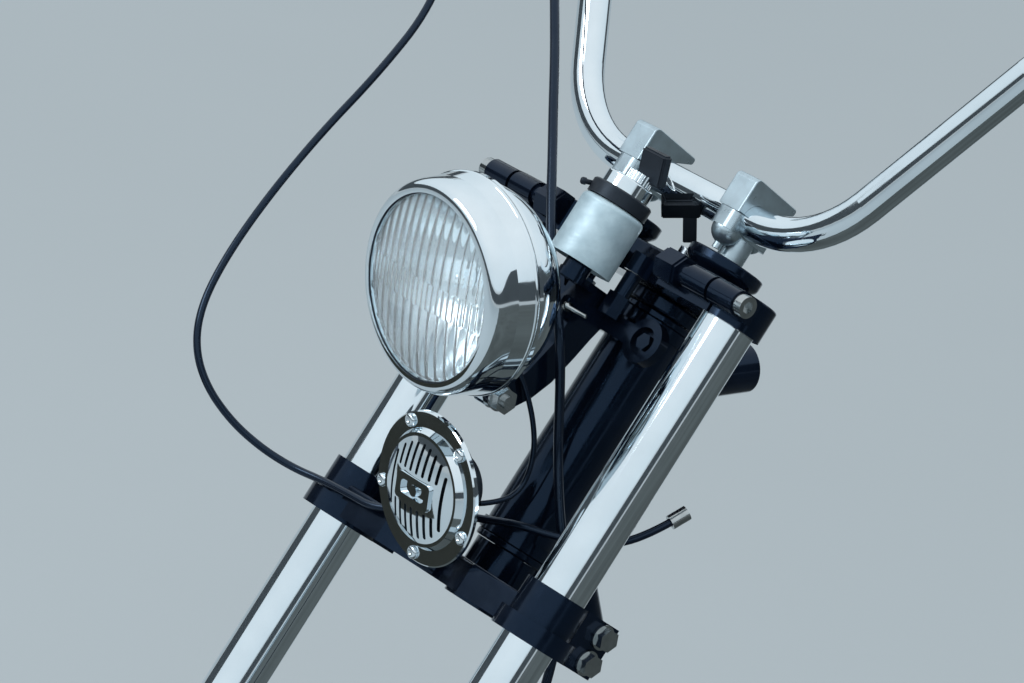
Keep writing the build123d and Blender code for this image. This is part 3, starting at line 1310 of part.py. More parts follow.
# Brake caliper behind the left slider, open towards the disc
with BuildPart() as caliper:
    with BuildSketch(beside(CALIPER_IN, 0, 0)):
        with Locations(Location((CALIPER_AHEAD, CALIPER_UP, 0), (0, 0, CALIPER_TURN))):
            RectangleRounded(CALIPER_LONG, CALIPER_DEEP, CALIPER_ROUND)
    extrude(amount=-(CALIPER_OUT - CALIPER_IN))
    fillet(caliper.faces().sort_by(Axis.X)[0].edges(), CALIPER_EDGE_R)
    with BuildSketch(beside(CALIPER_IN - PISTON_OUT, 0, 0)):
        with Locations(Location((CALIPER_AHEAD, CALIPER_UP, 0), (0, 0, CALIPER_TURN))):
            with Locations((-PISTON_STEP / 2, 0), (PISTON_STEP / 2, 0)):
                Circle(PISTON_R)
    extrude(amount=-2 * PISTON_OUT)
    with BuildSketch(beside(DISC_SIDE - DISC_SLOT / 2, 0, 0)):
        with Locations((FORK_AHEAD, AXLE_UP)):
            Circle(DISC_R)
    extrude(amount=-DISC_SLOT, mode=Mode.SUBTRACT)
    with BuildSketch(beside(CALIPER_OUT, 0, 0)):
        with BuildLine():
            plate_edge = FORK_AHEAD - SLIDER_LOW_R - 1
            Polyline(
                (CALIPER_AHEAD - CALIPER_ROUND, CALIPER_UP + CALIPER_DEEP / 2 - MOUNT_EDGE / 2),
                (plate_edge, CALIPER_UP + CALIPER_DEEP / 2),
                (plate_edge, CALIPER_UP - CALIPER_DEEP / 2 - MOUNT_EDGE / 2),
                (CALIPER_AHEAD, CALIPER_UP - CALIPER_DEEP / 2 + MOUNT_EDGE / 2),
                close=True,
            )
        make_face()
    extrude(amount=-CALIPER_PLATE)
save(caliper, "brake_caliper")

# Cables and hoses


def cord_radii(points):
    """Bend radius at each corner of a route: as large as its two runs allow."""
    radii = []
    for before, corner, after in zip(points, points[1:], points[2:]):
        run_in = corner - before
        run_out = after - corner
        half_turn = radians(run_in.get_angle(run_out)) / 2
        radii.append(0.45 * min(run_in.length, run_out.length) / tan(half_turn))
    return radii


def from_bar(start):
    """Points of a cord that keep their place on the handlebar."""
    corner = (
        -BAR_CORNER_SIDE - LEG_LENGTH * sin(radians(LEG_SPLAY)),
        BAR_AHEAD + LEG_LENGTH * cos(radians(LEG_SPLAY)) * sin(radians(LEG_LEAN)),
        BAR_UP + LEG_LENGTH * cos(radians(LEG_SPLAY)) * cos(radians(LEG_LEAN)),
    )
    return [tuple(base + move for base, move in zip(corner, place)) for place in start]


def cord(label, route, radius):
    """Round cord along its route."""
    points = [spot(*place) for place in route]
    radii = cord_radii(points)
    with BuildPart() as piece:
        with BuildLine() as path:
            FilletPolyline(*points, radius=radii)
        with BuildSketch(Plane(points[0], z_dir=points[1] - points[0])):
            Circle(radius)
        sweep(path=path.wires()[0])
    save(piece, label)
    length = path.wires()[0].length
    print(label, "length", round(length), "least radius", round(min(radii), 1),
          "volume ratio", round(piece.part.volume / (pi * radius**2 * length), 4))


cable_route = from_bar(CABLE_START) + list(CABLE_ROUTE)
hose_route = from_bar(HOSE_START) + list(HOSE_ROUTE)
cord("control_cable", cable_route, CABLE_R)
cord("brake_hose", hose_route, HOSE_R)
cord("lamp_wire", WIRE_ROUTE, WIRE_R)


def ferrule(end, inner, radius, reach):
    """Sleeve over a cord's end and on past it by a reach."""
    away = (spot(*end) - spot(*inner)).normalized()
    with BuildSketch(Plane(spot(*end) - away * FERRULE_GRIP, z_dir=away)) as sleeve:
        Circle(FERRULE_R)
    extrude(sleeve.sketch, amount=FERRULE_GRIP + reach)
    with BuildSketch(Plane(spot(*end) - away * FERRULE_GRIP, z_dir=away)) as hole:
        Circle(radius + HOSE_GAP)
    extrude(hole.sketch, amount=FERRULE_GRIP + SEAT_GAP, mode=Mode.SUBTRACT)


# Hose ends: an eye on the master cylinder and one on the caliper, each with its sleeve
with BuildPart() as hose_ends:
    eye_reach = MASTER_FROM - SEAT_GAP - BANJO_WIDE
    with BuildSketch(grip_plane(-1, eye_reach, MASTER_AHEAD)):
        Circle(BANJO_R)
    extrude(amount=BANJO_WIDE)
    with BuildSketch(beside(hose_route[-1][0] - BANJO_WIDE / 2, BANJO_AHEAD, BANJO_UP)):
        Circle(BANJO_R)
    extrude(amount=-BANJO_WIDE)
    ferrule(hose_route[0], hose_route[1], HOSE_R, BANJO_R)
    ferrule(hose_route[-1], hose_route[-2], HOSE_R, BANJO_HOSE_GAP)
save(hose_ends, "hose_ends")

with BuildPart() as cable_ends:
    ferrule(cable_route[0], cable_route[1], CABLE_R, CABLE_SEAT)
    ferrule(cable_route[-1], cable_route[-2], CABLE_R, CABLE_SEAT)
save(cable_ends, "cable_ends")
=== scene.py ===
import json
from math import cos, pi, radians, sin, sqrt

import bmesh
import bpy
from mathutils import Matrix, Vector


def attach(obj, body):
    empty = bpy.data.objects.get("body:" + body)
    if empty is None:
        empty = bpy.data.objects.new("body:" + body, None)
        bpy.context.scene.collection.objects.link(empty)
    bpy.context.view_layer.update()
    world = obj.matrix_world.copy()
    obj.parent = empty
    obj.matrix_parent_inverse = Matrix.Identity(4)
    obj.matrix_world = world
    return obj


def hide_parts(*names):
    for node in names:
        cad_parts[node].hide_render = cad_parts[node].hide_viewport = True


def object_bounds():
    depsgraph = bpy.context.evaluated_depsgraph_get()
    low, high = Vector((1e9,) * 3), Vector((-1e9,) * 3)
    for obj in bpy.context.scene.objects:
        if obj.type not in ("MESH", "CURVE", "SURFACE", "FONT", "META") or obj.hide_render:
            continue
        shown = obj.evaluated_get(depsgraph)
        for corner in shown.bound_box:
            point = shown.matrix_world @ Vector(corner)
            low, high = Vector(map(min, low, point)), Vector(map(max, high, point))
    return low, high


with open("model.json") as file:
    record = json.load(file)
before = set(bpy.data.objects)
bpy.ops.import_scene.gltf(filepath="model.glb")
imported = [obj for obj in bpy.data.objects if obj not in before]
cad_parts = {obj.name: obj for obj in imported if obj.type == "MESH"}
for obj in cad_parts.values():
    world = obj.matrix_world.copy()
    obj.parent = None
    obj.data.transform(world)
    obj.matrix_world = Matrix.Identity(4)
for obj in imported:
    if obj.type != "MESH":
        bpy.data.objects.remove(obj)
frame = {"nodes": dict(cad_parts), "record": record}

# Looks of a motorcycle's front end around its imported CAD. Metres; X is the rider's left,
# the front faces -Y and Z is up. Places near the steering axis are (side, ahead, up).
cad_box = [list(corner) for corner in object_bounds()]
SLOT_OF = {row["node"]: row["material_slot"] for row in frame["record"]["subparts"]}
NODE = frame["nodes"]

RAKE = radians(32.0)
STEER = Vector((0, sin(RAKE), cos(RAKE)))
AHEAD = Vector((0, -cos(RAKE), sin(RAKE)))
SIDE = Vector((1, 0, 0))
FRONT = Vector((0, -1, 0))
UPRIGHT = Vector((0, 0, 1))
HEAD = Vector((0, -0.122, 0)) - STEER * 0.008  # middle of the steering frame


def spot(side, ahead, up):
    """Point given in the steering frame, in millimetres."""
    return HEAD + (SIDE * side + AHEAD * ahead + STEER * up) / 1000


HORN = spot(0, 102.0, -126.8)
LAMP = spot(0, 179.6, 6.5)


# Objects
def add_object(name, data):
    """Object in the scene that holds the data."""
    obj = bpy.data.objects.new(name, data)
    bpy.context.scene.collection.objects.link(obj)
    return obj


def dress(obj, mat):
    """Give an object one material."""
    obj.data.materials.clear()
    obj.data.materials.append(mat)


def add_mesh(name, points, faces, mat):
    """Mesh object of one material, its points in world metres."""
    mesh = bpy.data.meshes.new(name)
    mesh.from_pydata(points, [], faces)
    obj = add_object(name, mesh)
    dress(obj, mat)
    return obj


def ring_quads(low, high, sides):
    """Faces between two circles of points, each given by the number of its first point."""
    quads = []
    for step in range(sides):
        after = (step + 1) % sides
        quads.append((low + step, low + after, high + after, high + step))
    return quads


# Camera
CAMERA_AT = Vector((2.4713, -2.3337, 1.2044))
CAMERA_BACK = Vector((0.716437, -0.611329, 0.336147))
CAMERA_RIGHT = Vector((0.604047, 0.784636, 0.139550))
CAMERA_UP = CAMERA_BACK.cross(CAMERA_RIGHT)
CAMERA_SENSOR = 36.0
CAMERA_LENS = 172.03


def build_camera():
    """Camera at the place from which the photograph was taken."""
    data = bpy.data.cameras.new("camera")
    data.sensor_width = CAMERA_SENSOR
    data.lens = CAMERA_LENS
    camera = add_object("camera", data)
    turn = Matrix((CAMERA_RIGHT, CAMERA_UP, CAMERA_BACK)).transposed().to_4x4()
    camera.matrix_world = Matrix.Translation(CAMERA_AT) @ turn
    bpy.context.scene.camera = camera
    bpy.context.scene.view_settings.view_transform = "Standard"


build_camera()

# Materials
MIX_AMOUNT = 0  # sockets of the mix node for colours
MIX_FIRST = 6
MIX_SECOND = 7
MIX_RESULT = 2
SECOND_TONE = 0.82  # share of the first tone, where the second isn't given
DUST_COLOR = (0.27, 0.28, 0.29)
DUST_SLOPE = (0.1, 1.0)  # how far a face looks up, from no dust to all of it
DUST_NOISE = (220.0, 5.0, 0.7)  # scale, detail and roughness
DUST_SPECKS = (0.4, 0.72)  # values of that noise, from the least dust to the most
DUST_LEAST = 0.1


def noise(tree, coords, scale, detail=3.0, rough=0.55):
    """Value of a noise texture."""
    node = tree.nodes.new("ShaderNodeTexNoise")
    node.inputs["Scale"].default_value = scale
    node.inputs["Detail"].default_value = detail
    node.inputs["Roughness"].default_value = rough
    tree.links.new(coords, node.inputs["Vector"])
    return node.outputs["Fac"]


def spread(tree, source, low, high, from_low=0.35, from_high=0.65):
    """Value stretched from one range to another and kept inside it."""
    node = tree.nodes.new("ShaderNodeMapRange")
    node.inputs["From Min"].default_value = from_low
    node.inputs["From Max"].default_value = from_high
    node.inputs["To Min"].default_value = low
    node.inputs["To Max"].default_value = high
    tree.links.new(source, node.inputs["Value"])
    return node.outputs["Result"]


def upward(tree, direction):
    """Upward part of a direction."""
    node = tree.nodes.new("ShaderNodeSeparateXYZ")
    tree.links.new(direction, node.inputs["Vector"])
    return node.outputs["Z"]


def color_mix(tree, amount, second):
    """Mix node toward a second colour; its first colour is still to be set."""
    node = tree.nodes.new("ShaderNodeMix")
    node.data_type = "RGBA"
    node.inputs[MIX_SECOND].default_value = (*second, 1)
    tree.links.new(amount, node.inputs[MIX_AMOUNT])
    return node


def bump(tree, height, strength, distance):
    """Bump node over a height."""
    node = tree.nodes.new("ShaderNodeBump")
    node.inputs["Strength"].default_value = strength
    node.inputs["Distance"].default_value = distance
    tree.links.new(height, node.inputs["Height"])
    return node


def stretched(tree, coords, turn, scale):
    """Coordinates turned and scaled, so that a noise on them runs in streaks."""
    node = tree.nodes.new("ShaderNodeMapping")
    node.inputs["Rotation"].default_value = turn
    node.inputs["Scale"].default_value = scale
    tree.links.new(coords, node.inputs["Vector"])
    return node.outputs["Vector"]


def two_tones(tree, coords, first, second, scale):
    """Colour that wanders between two tones."""
    mix = color_mix(tree, spread(tree, noise(tree, coords, scale), 0.0, 1.0), second)
    mix.inputs[MIX_FIRST].default_value = (*first, 1)
    return mix.outputs[MIX_RESULT]


def dusty(tree, coords, clean, dust):
    """Clean colour under thin specks of dust, most of them where a face looks up."""
    normal = tree.nodes.new("ShaderNodeNewGeometry").outputs["Normal"]
    specks = noise(tree, coords, *DUST_NOISE)
    amount = tree.nodes.new("ShaderNodeMath")
    amount.operation = "MULTIPLY"
    tree.links.new(spread(tree, upward(tree, normal), 0.0, dust, *DUST_SLOPE), amount.inputs[0])
    tree.links.new(spread(tree, specks, DUST_LEAST, 1.0, *DUST_SPECKS), amount.inputs[1])
    mix = color_mix(tree, amount.outputs[0], DUST_COLOR)
    tree.links.new(clean, mix.inputs[MIX_FIRST])
    return mix.outputs[MIX_RESULT]


def surface(name, color, rough, second=None, metallic=0.0, specular=0.5, painted_sky_tint=(1.0, 1.0, 1.0),
            transmission=0.0, tone_scale=30.0, rough_scale=60.0, grain=0.0, grain_scale=900.0,
            grain_depth=0.00005, streaks=None, wave=None, dust=0.0):
    """Principled surface with colour variation, uneven gloss and a fine grain.

    Streaks are (turn, scale) of the grain; a wave is (strength, scale, depth). The reflections'
    tint is painted in, a stand-in for the blue of the sky that they mirror.
    """
    mat = bpy.data.materials.new(name)
    mat.use_nodes = True
    tree = mat.node_tree
    shader = tree.nodes["Principled BSDF"]
    shader.inputs["Metallic"].default_value = metallic
    shader.inputs["Transmission Weight"].default_value = transmission
    shader.inputs["Specular IOR Level"].default_value = specular
    # Specular tint: a blue tint painted into the reflections, standing in for the blue of the sky
    # that they mirror
    shader.inputs["Specular Tint"].default_value = (*painted_sky_tint, 1)

    coords = tree.nodes.new("ShaderNodeTexCoord").outputs["Object"]
    grain_coords = stretched(tree, coords, *streaks) if streaks else coords
    second = second or [c * SECOND_TONE for c in color]
    tone = two_tones(tree, coords, color, second, tone_scale)
    if dust:
        tone = dusty(tree, coords, tone, dust)
    tree.links.new(tone, shader.inputs["Base Color"])

    blotches = noise(tree, grain_coords, rough_scale, detail=4.0)
    tree.links.new(spread(tree, blotches, *rough), shader.inputs["Roughness"])

    relief = bump(tree, noise(tree, grain_coords, grain_scale, detail=2.0), grain, grain_depth)
    if wave:
        strength, scale, depth = wave
        swell = bump(tree, noise(tree, coords, scale, detail=1.0), strength, depth)
        tree.links.new(relief.outputs["Normal"], swell.inputs["Normal"])
        relief = swell
    tree.links.new(relief.outputs["Normal"], shader.inputs["Normal"])
    return mat


AROUND_STEM = ((RAKE, 0.0, 0.0), (0.08, 0.08, 1.0))
FLOOR_COLOR = (0.46, 0.50, 0.52)
CARD_ROUGH = (0.7, 0.8)
LOOKS = {
    # Blue tint painted into its reflections, for the blue sky that it mirrors
    "gloss_black": dict(
        color=(0.002, 0.004, 0.009), second=(0.003, 0.006, 0.014), rough=(0.08, 0.17),
        specular=0.42, painted_sky_tint=(0.34, 0.58, 1.0), grain=0.10, grain_scale=700,
        wave=(0.22, 60, 0.0003), dust=0.015),
    "chrome": dict(
        color=(0.80, 0.88, 0.93), second=(0.75, 0.83, 0.88), rough=(0.035, 0.075),
        metallic=1.0, grain=0.02, grain_scale=1400, grain_depth=0.00001),
    "satin_silver": dict(
        color=(0.54, 0.66, 0.73), second=(0.47, 0.57, 0.63), rough=(0.26, 0.38),
        metallic=0.9, tone_scale=90, grain=0.25, grain_scale=1500),
    # Blue tint painted into its reflections, for the blue sky that it mirrors
    "satin_black": dict(
        color=(0.008, 0.010, 0.014), second=(0.014, 0.017, 0.023), rough=(0.30, 0.46),
        specular=0.4, painted_sky_tint=(0.6, 0.78, 1.0), grain=0.3, grain_scale=1500, dust=0.06),
    # Blue tint painted into its reflections, for the blue sky that it mirrors
    "rubber": dict(
        color=(0.010, 0.012, 0.016), second=(0.018, 0.021, 0.027), rough=(0.50, 0.70),
        specular=0.4, painted_sky_tint=(0.6, 0.78, 1.0), grain=0.5, grain_scale=1100, dust=0.02),
    "brushed": dict(
        color=(0.60, 0.75, 0.82), second=(0.46, 0.60, 0.67), rough=(0.40, 0.55),
        metallic=0.45, tone_scale=70, rough_scale=500, grain=0.35, grain_scale=1600,
        streaks=AROUND_STEM),
    "glass": dict(
        color=(0.95, 0.99, 1.0), second=(0.92, 0.97, 1.0), rough=(0.02, 0.06),
        transmission=0.88, grain=0.01, grain_depth=0.00001),
    "zinc": dict(
        color=(0.50, 0.53, 0.54), second=(0.42, 0.45, 0.46), rough=(0.12, 0.24),
        metallic=1.0, tone_scale=160, grain=0.15, grain_scale=1600),
    # Blue tint painted into its reflections, for the blue sky that it mirrors
    "hose": dict(
        color=(0.003, 0.006, 0.014), second=(0.006, 0.009, 0.017), rough=(0.13, 0.22),
        painted_sky_tint=(0.46, 0.68, 1.0), grain=0.15, grain_scale=1300, dust=0.015),
    # Inside of the lamp, a paler and softer mirror than the polished chrome round it
    "reflector": dict(
        color=(0.92, 0.97, 1.0), second=(0.86, 0.93, 0.97), rough=(0.08, 0.15),
        metallic=0.95, grain=0.02, grain_scale=1200, grain_depth=0.00001),
    # Stage
    "floor": dict(
        color=FLOOR_COLOR, second=[c * 0.985 for c in FLOOR_COLOR], rough=(0.6, 0.7),
        specular=0.0, tone_scale=1.2),
    "dark_card": dict(color=(0.040, 0.038, 0.028), rough=CARD_ROUGH),
    "dark_sheet": dict(
        color=(0.058, 0.066, 0.064), second=(0.088, 0.100, 0.098), rough=CARD_ROUGH,
        tone_scale=2.0),
    "dark_horizon": dict(color=(0.095, 0.105, 0.115), rough=CARD_ROUGH),
    "white_card": dict(color=(0.8, 0.8, 0.8), rough=CARD_ROUGH),
}
MATERIAL = {name: surface(name, **look) for name, look in LOOKS.items()}

for node, slot_name in SLOT_OF.items():
    for index in range(len(NODE[node].data.materials)):
        NODE[node].data.materials[index] = MATERIAL[slot_name]
dress(NODE["lamp_reflector"], MATERIAL["reflector"])

# Floor
FLOOR_HALF = 14.0
FLOOR_DROP = 0.055  # the fork's legs sink by 0.051 at full lock
FLOOR_LEVEL = cad_box[0][2] - FLOOR_DROP

# Dark card in front of the horn
DARK_CARD_WAY = Vector((-0.72, -0.61, -0.36))
DARK_CARD_AWAY = 0.8
DARK_CARD_DROP = 0.0625
DARK_CARD_HALF = (0.30, 0.1375)

# Dark sheet on the floor
DARK_SHEET_AT = (6.4, 6.2)
DARK_SHEET_RISE = 0.002
DARK_SHEET_HALF = 6.8

# Dark wall round the floor, its height in shares of its distance. Each hump on it is the
# way to its top, the share that it adds and how steeply it falls off.
HORIZON_AWAY = 13.0
HORIZON_STEPS = 144
HORIZON_FOOT = 0.1
HORIZON_SHARE = 0.18
HORIZON_HUMPS = (
    (Vector((0.72, 0.66, 0)).normalized(), 0.30, 12),
    (Vector((-0.72, -0.61, 0)).normalized(), 0.20, 6),
)

# White card in front of the lamp
WHITE_CARD_AT = Vector((0.15, -1.18, -0.12))
WHITE_CARD_HALF = (0.70, 0.37)
WHITE_CARD_GLOW = (0.88, 0.97, 1.0)
WHITE_CARD_STRENGTH = 0.9

# Sky: places from straight down at 0 to straight up at 1, and their colours
SKY_STRENGTH = 0.9
BACKDROP = tuple(c / SKY_STRENGTH for c in FLOOR_COLOR)
SKY_STOPS = (
    (0.00, (0.30, 0.33, 0.34)),
    (0.49, BACKDROP),
    (0.585, BACKDROP),
    (0.62, (0.80, 0.90, 0.96)),
    (1.00, (1.00, 1.05, 1.08)),
)

# Light
KEY_LIGHT_AT = Vector((-1.2, -3.2, 3.2))
KEY_LIGHT_AIM = Vector((0, -0.2, 0))
KEY_LIGHT_SIZE = (2.4, 1.4)
KEY_LIGHT_WATTS = 55
KEY_LIGHT_COLOR = (0.95, 0.98, 1.0)


def square(middle, along, across):
    """Corners of a flat piece that reaches along and across from its middle."""
    return [middle + along * a + across * b for a, b in ((-1, -1), (1, -1), (1, 1), (-1, 1))]


def level_square(x, y, height, half):
    """Corners of a flat piece that lies level."""
    return square(Vector((x, y, height)), Vector((half, 0, 0)), Vector((0, half, 0)))


def build_floor():
    corners = level_square(0, 0, FLOOR_LEVEL, FLOOR_HALF)
    floor = add_mesh("floor", corners, [(0, 1, 2, 3)], MATERIAL["floor"])


def reflector_card(name, points, faces, glossy=True, transmission=False):
    """Card for reflections, like a photographer's, that neither lights nor shades.

    Glossy says whether shiny surfaces show it, and transmission whether glass does.
    """
    card = add_mesh(name, points, faces, MATERIAL[name])
    card.visible_camera = False
    card.visible_diffuse = False
    card.visible_shadow = False
    card.visible_glossy = glossy
    card.visible_transmission = transmission


def build_dark_card():
    """Dark card for the dark road that the photograph's horn mirrors."""
    middle = HORN + DARK_CARD_WAY.normalized() * DARK_CARD_AWAY - UPRIGHT * DARK_CARD_DROP
    right = DARK_CARD_WAY.cross(UPRIGHT).normalized()
    wide, tall = DARK_CARD_HALF
    reflector_card("dark_card", square(middle, right * wide, UPRIGHT * tall), [(0, 1, 2, 3)])


def build_dark_sheet():
    """Dark sheet for the dark engine and road that the chrome mirrors behind the left side."""
    corners = level_square(*DARK_SHEET_AT, FLOOR_LEVEL + DARK_SHEET_RISE, DARK_SHEET_HALF)
    reflector_card("dark_sheet", corners, [(0, 1, 2, 3)])


def horizon_height(way):
    """Height of the dark wall in one direction."""
    share = HORIZON_SHARE
    for top, more, fall in HORIZON_HUMPS:
        share += more * max(0.0, way.dot(top)) ** fall
    return HORIZON_AWAY * share


def build_dark_horizon():
    """Dark wall for the trees and houses that the chrome mirrors."""
    foot = []
    top = []
    for step in range(HORIZON_STEPS):
        angle = 2 * pi * step / HORIZON_STEPS
        way = Vector((cos(angle), sin(angle), 0))
        foot.append(way * HORIZON_AWAY + UPRIGHT * HORIZON_FOOT)
        top.append(way * HORIZON_AWAY + UPRIGHT * horizon_height(way))
    faces = ring_quads(0, HORIZON_STEPS, HORIZON_STEPS)
    reflector_card("dark_horizon", foot + top, faces)


def build_white_card():
    """White card that only the lamp glass sees, so that the reflector behind it is bright."""
    shader = MATERIAL["white_card"].node_tree.nodes["Principled BSDF"]
    shader.inputs["Emission Color"].default_value = (*WHITE_CARD_GLOW, 1)
    shader.inputs["Emission Strength"].default_value = WHITE_CARD_STRENGTH
    wide, tall = WHITE_CARD_HALF
    corners = square(WHITE_CARD_AT, SIDE * wide, UPRIGHT * tall)
    reflector_card("white_card", corners, [(0, 1, 2, 3)], glossy=False, transmission=True)


def build_world():
    """Bright sky over a plain pale backdrop, the same for the camera and for reflections."""
    world = bpy.data.worlds.new("world")
    bpy.context.scene.world = world
    world.use_nodes = True
    tree = world.node_tree
    tree.nodes.clear()
    coords = tree.nodes.new("ShaderNodeTexCoord").outputs["Generated"]
    ramp = tree.nodes.new("ShaderNodeValToRGB")
    stops = ramp.color_ramp.elements
    while len(stops) < len(SKY_STOPS):
        stops.new(0.5)
    for stop, (place, color) in zip(stops, SKY_STOPS):
        stop.position = place
        stop.color = (*color, 1)
    tree.links.new(spread(tree, upward(tree, coords), 0.0, 1.0, -1.0, 1.0), ramp.inputs["Fac"])
    sky = tree.nodes.new("ShaderNodeBackground")
    sky.inputs["Strength"].default_value = SKY_STRENGTH
    tree.links.new(ramp.outputs["Color"], sky.inputs["Color"])
    out = tree.nodes.new("ShaderNodeOutputWorld")
    tree.links.new(sky.outputs["Background"], out.inputs["Surface"])


def build_key_light():
    """Large soft lamp high up, in front of the rider's right side."""
    data = bpy.data.lights.new("key_light", "AREA")
    data.shape = "RECTANGLE"
    data.size, data.size_y = KEY_LIGHT_SIZE
    data.energy = KEY_LIGHT_WATTS
    data.color = KEY_LIGHT_COLOR
    lamp = add_object("key_light", data)
    lamp.location = KEY_LIGHT_AT
    lamp.rotation_mode = "QUATERNION"
    lamp.rotation_quaternion = (KEY_LIGHT_AIM - KEY_LIGHT_AT).to_track_quat("-Z", "Y")


build_floor()
build_dark_card()
build_dark_sheet()
build_dark_horizon()
build_white_card()
build_world()
build_key_light()

# Cables: the points of their routes, each (side, ahead, up) in millimetres
CABLE_R = 0.0029
CABLE_ROUTE = (
    (-317.05, 21.98, 344.13), (-321.05, 23.98, 326.13), (-327.05, 36.98, 306.13),
    (-331.05, 57.98, 288.13), (-327, 78, 264), (-309, 91, 236), (-280, 97, 180),
    (-264, 120, 115), (-257, 143, 50), (-248, 161, -14), (-237, 173, -66), (-225, 178, -104),
    (-212, 173, -131), (-198, 157, -150), (-181, 134, -162), (-162, 112, -167), (-141, 94, -167),
    (-114, 86, -163), (-84, 85, -161), (-58, 83, -160), (-40, 75, -149), (-22, 61, -137),
    (4, 48, -126), (34, 43, -115), (60, 28, -108), (84, 10, -96), (98, -8, -75), (104, -23, -46),
)
HOSE_R = 0.0036
HOSE_ROUTE = (
    (-272.05, 74.98, 328.13), (-270.05, 72.98, 312.13), (-259, 76, 298), (-240, 80, 284),
    (-218, 84, 266), (-195, 88, 245), (-168, 92, 219), (-138, 94, 187), (-108, 97, 154),
    (-80, 99, 123), (-56, 100, 95), (-36, 100, 72), (-17, 97.5, 48.5), (15, 104, 27), (22, 86, 3),
    (21, 63, -22), (26, 44, -51), (40, 28, -84), (57, 10, -116), (67, -8, -150), (74, -24, -190),
    (80, -34, -236), (85, -38, -286), (88, -38, -338), (88, -36, -390), (87, -33, -440),
    (86, -30, -486), (85, -28, -526),
)
WIRE_R = 0.002
WIRE_ROUTE = (
    (11.5, 115.6, -17.2), (12.5, 108, -21), (14.5, 95, -28), (16.5, 82, -37), (18.5, 69, -48),
    (20, 57, -61), (21, 49, -76), (21.5, 46, -92), (20, 53, -107), (17, 69, -117),
)


def cord_curve(name, route, radius):
    """Round cord on a smooth line whose control points are the route's points."""
    data = bpy.data.curves.new(name, "CURVE")
    data.dimensions = "3D"
    spline = data.splines.new("NURBS")
    spline.points.add(len(route) - 1)
    for point, place in zip(spline.points, route):
        point.co = (*spot(*place), 1)
    spline.order_u = 3
    spline.use_endpoint_u = True
    spline.resolution_u = 8
    data.bevel_depth = radius
    data.bevel_resolution = 6
    data.use_fill_caps = True
    obj = add_object(name, data)
    dress(obj, MATERIAL["hose"])
    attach(obj, "front_end")
    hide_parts(name.replace("_looks", ""))
    return obj


cable = cord_curve("control_cable_looks", CABLE_ROUTE, CABLE_R)
cord_curve("brake_hose_looks", HOSE_ROUTE, HOSE_R)
cord_curve("lamp_wire_looks", WIRE_ROUTE, WIRE_R)


# Pieces of the looks; their sizes and profiles are in millimetres
def mesh_object(name, points, faces, mat, smooth=True):
    """Mesh that rides on the front end."""
    obj = add_mesh(name, points, faces, MATERIAL[mat])
    obj.data.polygons.foreach_set("use_smooth", [smooth] * len(faces))
    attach(obj, "front_end")
    return obj


def circles(base, axis, profile, sides):
    """Circles of points round an axis, one for each (radius, height) of the profile."""
    axis = axis.normalized()
    first = (STEER - axis * STEER.dot(axis)).normalized()
    second = axis.cross(first)
    points = []
    for radius, height in profile:
        for step in range(sides):
            angle = 2 * pi * step / sides
            out = first * cos(angle) + second * sin(angle)
            points.append(base + (out * radius + axis * height) / 1000)
    return points


def lathe(name, base, axis, profile, mat, sides=24):
    """Solid turned piece with flat ends."""
    last = (len(profile) - 1) * sides
    faces = []
    for low in range(0, last, sides):
        faces += ring_quads(low, low + sides, sides)
    faces.append(tuple(reversed(range(sides))))
    faces.append(tuple(range(last, last + sides)))
    mesh_object(name, circles(base, axis, profile, sides), faces, mat)


def ring(name, middle, axis, radius, thick, mat, sides, around=12):
    """Ring of round wire; thick is the wire's own radius."""
    profile = []
    faces = []
    for part in range(around):
        angle = 2 * pi * part / around
        profile.append((radius + thick * cos(angle), thick * sin(angle)))
        faces += ring_quads(part * sides, (part + 1) % around * sides, sides)
    mesh_object(name, circles(middle, axis, profile, sides), faces, mat)


def block(name, middle, size, right, up, mat, edge, recess=None):
    """Box with rounded edges, its size along right, up and their cross.

    A recess is (inset, depth) in the face toward that cross.
    """
    right = right.normalized()
    up = (up - right * up.dot(right)).normalized()
    out = right.cross(up)
    shape = bmesh.new()
    bmesh.ops.create_cube(shape, size=1.0)
    for vertex in shape.verts:
        vertex.co = Vector(a * b for a, b in zip(vertex.co, size))
    if recess:
        inset, depth = recess
        face = max(shape.faces, key=lambda one: one.calc_center_median().z)
        bmesh.ops.inset_individual(shape, faces=[face], thickness=inset)
        for vertex in face.verts:
            vertex.co.z -= depth
    bmesh.ops.bevel(shape, geom=list(shape.edges), offset=edge, segments=3, affect="EDGES",
                    clamp_overlap=True)
    shape.verts.index_update()
    points = [middle + (right * vertex.co.x + up * vertex.co.y + out * vertex.co.z) / 1000
              for vertex in shape.verts]
    faces = [[vertex.index for vertex in face.verts] for face in shape.faces]
    shape.free()
    mesh_object(name, points, faces, mat, smooth=False)


# Lamp glass in the CAD lens's place, with upright flutes in its back. Each band of flutes
# is its lower end, and the width, depth and lean of its flutes.
LENS_R = 65.8
LENS_EDGE = 31.0
LENS_CROWN = 9.0
LENS_BALL = (LENS_R**2 + LENS_CROWN**2) / (2 * LENS_CROWN)
LENS_THICK = 3.6
LENS_FADE = 3.0  # width of the rim where the flutes run out
LENS_RINGS = 76
LENS_SIDES = 264
FLUTE_BANDS = (
    (6.0, 8.6, 1.1, 0.05),
    (-13.0, 5.4, 1.4, 0.0),
    (-66.0, 9.6, 1.3, -0.04),
)
SEAL_AT = LAMP + FRONT * 0.0336
SEAL_R = 66.2
SEAL_THICK = 0.6


def flute(x, z):
    """Depth of the flutes in the back of the glass."""
    width, depth, lean = next(band for low, *band in FLUTE_BANDS if z > low)
    return depth * abs(sin(pi * (x + lean * z) / width))


